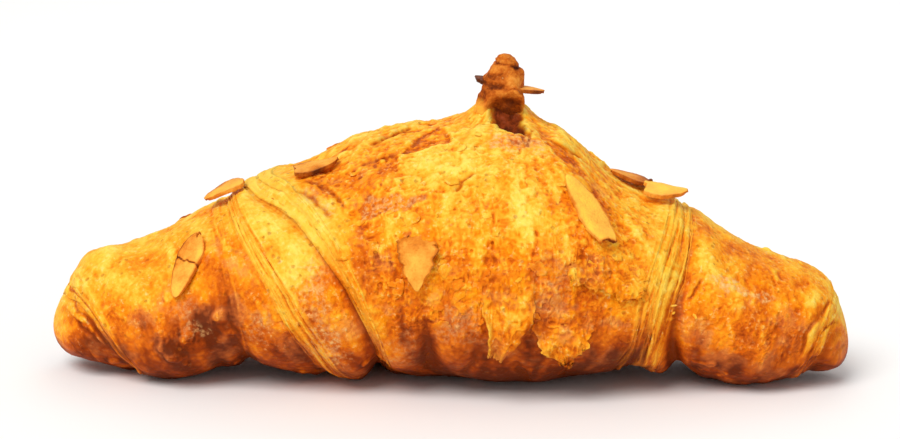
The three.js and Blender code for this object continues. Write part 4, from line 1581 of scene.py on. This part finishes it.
@dataclass
class AlmondSlices:
    """The almond slices, each in the place of its solid."""

    AXIS_HEIGHT = 0.018

    material: bpy.types.Material
    thick: float = 0.8
    rounding: float = 0.18
    long: int = 56
    wide: int = 24
    slices: tuple[Slice, ...] = (
        Slice((-0.5, -0.5, -1.0), Toast.GOLD, 0.6, 0.0, 0.05, 0.46),
        Slice((-1.0, 0.0, -0.2), Toast.GOLD, 0.5, 0.1, point=-0.18),
        Slice((1.0, 0.0, 0.0), Toast.AMBER, -0.4, 0.2, sink=0.4),
        Slice((0.0, -0.3, -1.0), Toast.AMBER, 0.7, 0.1, 0.18, lean=0.7, bury=2.2, full=0.9),
        Slice((-1.0, 0.3, 0.8), Toast.LIGHT, 0.7, 0.15, 0.06, burnt=0.45, lean=1.0, bury=-0.9, butt=0.12),
        Slice((-1.0, 0.0, 0.3), Toast.RUSSET, 0.3, sink=0.7),
        Slice((1.0, 0.0, 0.1), Toast.LIGHT, -0.5, 0.2, sink=-0.6),
        Slice((0.5, 0.3, 0.8), Toast.GOLD, 0.8, 0.1),
        Slice((-0.3, 0.3, -0.9), Toast.LIGHT, 0.8),
        Slice((0.8, 0.3, 0.5), Toast.GOLD, 0.6, 0.2),
        Slice((-0.8, 0.3, 0.5), Toast.BROWN, 0.6),
        Slice((1.0, 0.0, 0.0), Toast.AMBER, 0.2),
        Slice((-1.0, 0.0, 0.2), Toast.DARK, 0.2),
    )

    @classmethod
    def bearings(cls, node: str, tip: Sequence[float]) -> tuple[Matrix, np.ndarray]:
        """Finds the place and the sizes of a slice's solid.

        Args:
            node: The solid's name.
            tip: The rough way that its tip points.

        Returns:
            Matrix whose axes are along, across and out of the slice, and its three sizes in metres.
        """
        points = per_corner(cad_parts[node].data)
        middle = points.mean(axis=0)
        along, _, out = np.linalg.svd(points - middle, full_matrices=False)[2]
        along = along * np.sign(along @ np.array(tip))
        outward = middle - np.array([middle[0], 0.0, cls.AXIS_HEIGHT])
        out = out * np.sign(out @ outward)
        axes = np.stack([along, np.cross(out, along), out])
        spread = (points - middle) @ axes.T
        low, high = spread.min(axis=0), spread.max(axis=0)
        centre = middle + ((low + high) / 2.0) @ axes
        matrix = Matrix.Translation(centre) @ Matrix(axes.T.tolist()).to_4x4()
        return matrix, high - low

    def build(self) -> list[bpy.types.Object]:
        """Builds and dresses every slice."""
        return [self.one(number, slice_) for number, slice_ in enumerate(self.slices, 1)]

    def one(self, number: int, slice_: Slice) -> bpy.types.Object:
        """Builds one slice in the place of its solid.

        Args:
            number: Its number, which also seeds its outline.
            slice_: Its shape and toast.

        Returns:
            The piece.
        """
        node = f"almond_slice_{number:02d}"
        matrix, sizes = self.bearings(node, slice_.tip)
        length, width = sizes[0] / MM, sizes[1] / MM
        mesh = grid_mesh(f"slice_{number:02d}", self.long, self.wide)
        unit = per_corner(mesh)
        grain = Grain(Seed.SLICES + number)
        t = unit[:, 0] + 0.5
        v = unit[:, 1] * 2.0
        whole = slice_.cut + (1.0 - slice_.cut) * t
        belly = np.sin(np.pi * np.clip(whole, 0.0, 1.0) ** slice_.lean) ** slice_.full
        side = np.sign(v) * 3.0
        notch = grain.at(t * 9.0, side + 10.5) + 0.9 * grain.at(t * 23.0, side + 20.5)
        half = (width / 2.0) * (belly * (1.0 + slice_.ragged * notch)) + 0.2
        end = 1.0 - slice_.ragged * (0.6 + grain.at(v * 2.5, 30.5)) * (1.0 - t) ** 6 * 2.0
        x = ((1.0 + slice_.butt + slice_.point) * t - 0.5 - slice_.butt) * length * end
        y = v * half
        ripple = 0.15 * np.sin(3.0 * np.pi * t + y / 2.0) + 0.12 * grain.at(x / 2.5, y / 2.5)
        bend = slice_.curl * (ripple - (2.0 * x / length) ** 2 + 0.33)
        bend -= slice_.sink + slice_.bury * (1.0 - smooth(t, 0.0, 0.3))
        rim = np.maximum(np.abs(v), np.abs(2.0 * t - 1.0) ** 6)
        crack = np.zeros_like(t)
        if slice_.crack:
            line = slice_.crack + 0.02 * v + 0.02 * grain.at(v * 4.0, 40.5)
            crack = np.exp(-(((t - line) * length / 0.16) ** 2))
        crown = 0.18 * (1.0 - v * v) - 0.3 * crack
        local = np.stack([x, y, bend + crown + self.thick / 2.0], axis=-1) * MM
        turn = np.array(matrix.to_3x3())
        move_corners(mesh, local @ turn.T + np.array(matrix.translation))
        toast = slice_.toast.value + 0.28 * smooth(rim, 0.8, 1.0) - 0.08 * v
        toast = toast + 0.16 * grain.at(x / 3.0, y / 3.0 + 50.0) + 0.06 * grain.at(x / 1.1, y / 0.8 + 70.0)
        write_values(mesh, toast=toast + slice_.burnt * (1.0 - smooth(t, 0.0, 0.06)) + 0.6 * crack)
        piece = new_piece(mesh, self.material, (node,), self.thick)
        rim_round = piece.modifiers.new("rim", "BEVEL")
        rim_round.width = self.rounding * MM
        rim_round.segments = 2
        rim_round.limit_method = "ANGLE"
        return piece


@dataclass(frozen=True)
class Ball:
    """A round place in the paste: its middle and its reach, in millimetres."""

    x: float
    y: float
    z: float
    reach: float

    def weight(self, points: np.ndarray, full: float, end: float) -> np.ndarray:
        """Is 1 up to one share of the reach and falls to 0 at another."""
        away = np.linalg.norm(points - np.array([self.x, self.y, self.z]), axis=1)
        return 1.0 - smooth(away / self.reach, full, end)


@dataclass
class PasteTail:
    """The tail of almond paste on the ridge, crusty all over."""

    material: bpy.types.Material
    weld: float = 0.01
    voxel: float = 0.36
    fold: float = 0.32
    crumb: float = 0.3
    foot: tuple[float, float] = (56.5, 66.0)
    skirt: float = 2.4
    flare: float = 1.3
    slip: float = 1.1
    axis: float = 11.4
    push: float = 3.4
    bulge: tuple[float, float, float] = (62.3, 2.3, 1.7)
    hollow: Ball = Ball(12.3, -8.0, 57.4, 4.8)
    lump: Ball = Ball(13.0, -6.5, 61.8, 3.2)
    seams: tuple[tuple[float, float, float], ...] = ((66.0, -0.12, 0.3), (62.3, -0.2, 0.4))

    def form(self) -> bpy.types.Mesh:
        """Makes a fine mesh of the paste's solid.

        Returns:
            The mesh.
        """
        shape = bmesh.new()
        shape.from_mesh(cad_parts["almond_paste"].data)
        bmesh.ops.remove_doubles(shape, verts=shape.verts, dist=self.weld * MM)
        rough = mesh_from("paste_form", shape)
        form = add_object("paste_form", rough)
        remesh = form.modifiers.new("remesh", "REMESH")
        remesh.mode = "VOXEL"
        remesh.voxel_size = self.voxel * MM
        graph = bpy.context.evaluated_depsgraph_get()
        mesh = bpy.data.meshes.new_from_object(form.evaluated_get(graph))
        bpy.data.objects.remove(form)
        bpy.data.meshes.remove(rough)
        mesh.name = "paste"
        return mesh

    def build(self) -> list[bpy.types.Object]:
        """Builds and dresses the paste in the place of its solid.

        Returns:
            The piece, in a list.
        """
        mesh = self.form()
        points, normals = per_corner(mesh) / MM, per_corner(mesh, "normal")
        fold = Grain(Seed.FOLDS).layered(points * np.array([0.7, 0.7, 1.7]), 3.2, 3)
        crumb = np.abs(Grain(Seed.CRUMBS).layered(points, 1.5, 2)) - 0.35
        x, z = points[:, 0], points[:, 2]
        foot = 1.0 - smooth(z, *self.foot)
        moved = points + normals * (self.fold * fold + self.crumb * crumb)[:, None]
        moved[:, 0] -= self.flare * foot**1.3 * smooth(11.0 - x, 0.0, 3.5)
        moved[:, 0] += 0.4 * self.flare * foot**1.3 * smooth(x - 13.0, 0.0, 3.0)
        moved[:, 0] += self.slip * smooth(z, 58.5, 63.0) * (1.0 - 0.5 * smooth(z, 66.0, 68.0))
        level, reach, push = self.bulge
        swollen = np.exp(-(((z - level) / reach) ** 2)) * smooth(11.5 - x, 0.0, 3.0)
        moved[:, 0] -= push * swollen
        moved[:, 2] -= self.skirt * foot
        inside = self.hollow.weight(points, 0.45, 1.0)
        moved[:, 1] += self.push * inside
        lump = self.lump.weight(points, 0.5, 1.1)
        seam = np.zeros(len(points))
        for level, slope, width in self.seams:
            away = z - level - slope * (x - self.axis) - 0.5 * fold
            seam = np.maximum(seam, np.exp(-((away / width) ** 2)))
        moved -= normals * (0.4 * seam)[:, None]
        # Painted shade in the hollow, in the folds' troughs and in the seams, less on the lump.
        depth = np.clip(0.6 * inside + 0.4 * smooth(-fold, 0.1, 0.8) + 0.65 * seam - 0.35 * lump, -0.3, 1.0)
        front = np.exp(-(((x - 12.4) / 3.4) ** 2)) * smooth(-points[:, 1], 2.0, 4.0)
        collar = (1.0 - smooth(z + 0.5 * fold, 58.0, 61.5)) * (1.0 - front)
        move_corners(mesh, moved * MM)
        write_values(mesh, depth=depth, collar=collar)
        return [new_piece(mesh, self.material, ("almond_paste",))]


@dataclass
class Chips:
    """Small chips of the outer leaf, loose at one edge, all over the torn crown of the middle."""

    roll: Roll
    material: bpy.types.Material
    seed: int = 11
    count: int = 110
    steps: int = 6
    along: tuple[float, float] = (-21.0, 40.0)
    turns: tuple[tuple[float, float], ...] = ((-22.0, 68.0), (112.0, 200.0))
    sizes: tuple[float, float] = (0.7, 2.0)
    thick: float = 0.22
    radius: float = 30.0

    def build(self) -> list[bpy.types.Object]:
        """Builds all chips as one piece.

        Returns:
            The piece, in a list.
        """
        draw = np.random.default_rng(self.seed)
        mesh = grid_mesh("chips", self.steps, self.steps, 1.0, self.count)
        unit = per_corner(mesh).reshape(self.count, -1, 3)
        u, v = unit[..., 0], unit[..., 1]
        round_u, round_v = u * np.sqrt(1.0 - 0.5 * v * v), v * np.sqrt(1.0 - 0.5 * u * u)
        number = np.arange(self.count)[:, None] * 3.0
        bearing = np.arctan2(round_v, round_u)
        ragged = 1.0 + 0.35 * Grain(Seed.CHIPS).at(2.0 * np.cos(bearing) + number, 2.0 * np.sin(bearing) + number)
        size = draw.uniform(*self.sizes, (self.count, 1)) * ragged
        slim = draw.uniform(0.45, 1.0, (self.count, 1))
        turn = draw.uniform(0.0, 2.0 * np.pi, (self.count, 1))
        low, high = np.array(self.turns)[draw.integers(0, len(self.turns), self.count)].T[..., None]
        middle_x = draw.uniform(*self.along, (self.count, 1))
        middle = low + (high - low) * draw.uniform(0.0, 1.0, (self.count, 1))
        across, up = size * round_u, size * slim * round_v
        x = middle_x + across * np.cos(turn) - up * np.sin(turn)
        angle = np.radians(middle) + (across * np.sin(turn) + up * np.cos(turn)) / self.radius
        lift = -0.12 + draw.uniform(0.2, 0.6, (self.count, 1)) * (0.5 + 0.5 * round_v)
        skin = self.roll.skin(x, angle, lift, 0.5)
        rim = np.maximum(np.abs(u), np.abs(v)) ** 6
        skin.bake = skin.bake + draw.uniform(-0.14, 0.06, (self.count, 1))
        skin.leaf = np.clip(0.3 * rim, 0.0, 1.0)
        skin.shade = 0.3 * skin.shade
        move_corners(mesh, skin.point.reshape(-1, 3) * MM)
        flat = {name: grid.reshape(len(mesh.vertices), *grid.shape[2:]) for name, grid in skin.values().items()}
        write_values(mesh, **flat)
        return [new_piece(mesh, self.material, thick=self.thick)]


@dataclass
class Crumbs:
    """Loose crumbs and splinters of crust that stuck to the glaze."""

    roll: Roll
    material: bpy.types.Material
    seed: int = 7
    places: tuple[tuple[float, float, float], ...] = (
        (50.4, -0.8, 0.5),
        (45.9, 2.0, 0.45),
        (46.2, -2.5, 0.4),
        (52.0, 150.0, 0.8),
        (-30.0, 165.0, 0.8),
        (8.0, 140.0, 0.7),
    )

    def build(self) -> list[bpy.types.Object]:
        """Builds all crumbs as one piece.

        Returns:
            The piece, in a list.
        """
        draw = np.random.default_rng(self.seed)
        shape = bmesh.new()
        for x, angle, size in self.places:
            made = bmesh.ops.create_icosphere(shape, subdivisions=2, radius=1.0)["verts"]
            at = self.roll.skin(np.array([x]), np.radians([angle]), 0.25 * size).point[0]
            stretch = Vector(draw.uniform((1.6, 0.5, 0.4), (2.6, 0.9, 0.6))) * size
            turn = Matrix.Rotation(draw.uniform(0.0, 6.28), 3, Vector(draw.uniform(-1.0, 1.0, 3)))
            for vertex in made:
                knock = 1.0 + 0.3 * draw.uniform(-1.0, 1.0)
                local = turn @ Vector([a * b * knock for a, b in zip(vertex.co, stretch)])
                vertex.co = (Vector(at) + local) * MM
        mesh = mesh_from("crumbs", shape)
        write_values(mesh, bake=0.18, leaf=0.6, bare=0.3, shade=0.0, dark=0.0)
        return [new_piece(mesh, self.material)]


@dataclass
class Studio:
    """Pale floor, soft lights and the camera at the shown angle."""

    aim: tuple[float, float, float] = (0.5, 0.57, 31.6)
    distance: float = 538.0
    elevation: float = 12.0
    lens: float = 100.0
    sensor: float = 36.0
    nearest: float = 10.0
    lamp_aim: tuple[float, float, float] = (0.0, 0.0, 0.03)
    sky: float = 0.5
    sun: float = 1.95
    sun_angle: float = 38.0
    sun_from: tuple[float, float, float] = (-0.35, -0.55, 0.8)
    lights: tuple[tuple[str, tuple[float, float, float], float, float], ...] = (
        ("key", (-0.25, -0.45, 0.6), 0.4, 0.6),
        ("fill", (0.5, -0.7, 0.3), 0.6, 0.5),
        ("back", (0.1, 0.6, 0.6), 0.5, 0.9),
    )

    def build(self) -> None:
        """Sets up floor, lights, sky and camera."""
        self.floor()
        for name, place, size, power in self.lights:
            self.lamp(name, Vector(place), size, power)
        self.daylight()
        world = bpy.data.worlds.new("sky")
        world.use_nodes = True
        inputs = world.node_tree.nodes["Background"].inputs
        inputs["Color"].default_value = (1.0, 1.0, 1.0, 1.0)
        inputs["Strength"].default_value = self.sky
        bpy.context.scene.world = world
        bpy.context.scene.view_settings.view_transform = "Standard"
        self.camera()

    @staticmethod
    def floor() -> None:
        """Lays the floor under the croissant."""
        floor = add_object("floor", grid_mesh("floor", 1, 1, 4.0))
        floor.data.materials.append(FloorFinish().material())

    def lamp(self, name: str, place: Vector, size: float, power: float) -> None:
        """Hangs one soft square lamp that faces the croissant.

        Args:
            name: The lamp's name.
            place: Where it hangs, in metres.
            size: Width in metres.
            power: Watts.
        """
        light = bpy.data.lights.new(name, "AREA")
        light.size = size
        light.energy = power
        lamp = add_object(name, light)
        lamp.location = place
        lamp.rotation_euler = (Vector(self.lamp_aim) - place).to_track_quat("-Z", "Y").to_euler()

    def daylight(self) -> None:
        """Adds a broad soft light that reaches the whole floor alike."""
        light = bpy.data.lights.new("daylight", "SUN")
        light.energy = self.sun
        light.angle = math.radians(self.sun_angle)
        lamp = add_object("daylight", light)
        lamp.rotation_euler = (-Vector(self.sun_from)).to_track_quat("-Z", "Y").to_euler()

    def camera(self) -> None:
        """Sets the camera at the shown angle."""
        lift = math.radians(self.elevation)
        back = Vector((0.0, -math.cos(lift), math.sin(lift)))
        data = bpy.data.cameras.new("camera")
        data.lens = self.lens
        data.sensor_width = self.sensor
        data.clip_start = self.nearest * MM
        camera = add_object("camera", data)
        camera.location = (Vector(self.aim) + back * self.distance) * MM
        camera.rotation_euler = (-back).to_track_quat("-Z", "Y").to_euler()
        bpy.context.scene.camera = camera


def main() -> None:
    """Builds the croissant's parts in order and reports each piece."""
    logging.basicConfig(level=logging.INFO, format="%(name)s: %(message)s")
    Studio().build()
    roll, crust = Roll(), CrustFinish().material()
    skin = FlakySkin(roll, crust)
    parts = (
        Crust(roll, crust, skin),
        skin,
        LeafEdges(roll, crust),
        TornFlakes(roll, crust),
        Chips(roll, crust),
        Crumbs(roll, crust),
        PasteTail(PasteFinish().material()),
        AlmondSlices(AlmondFinish().material()),
    )
    for piece in chain.from_iterable(part.build() for part in parts):
        LOG.info("%s: %d faces", piece.name, len(piece.data.polygons))


if __name__ == "__main__":
    main()
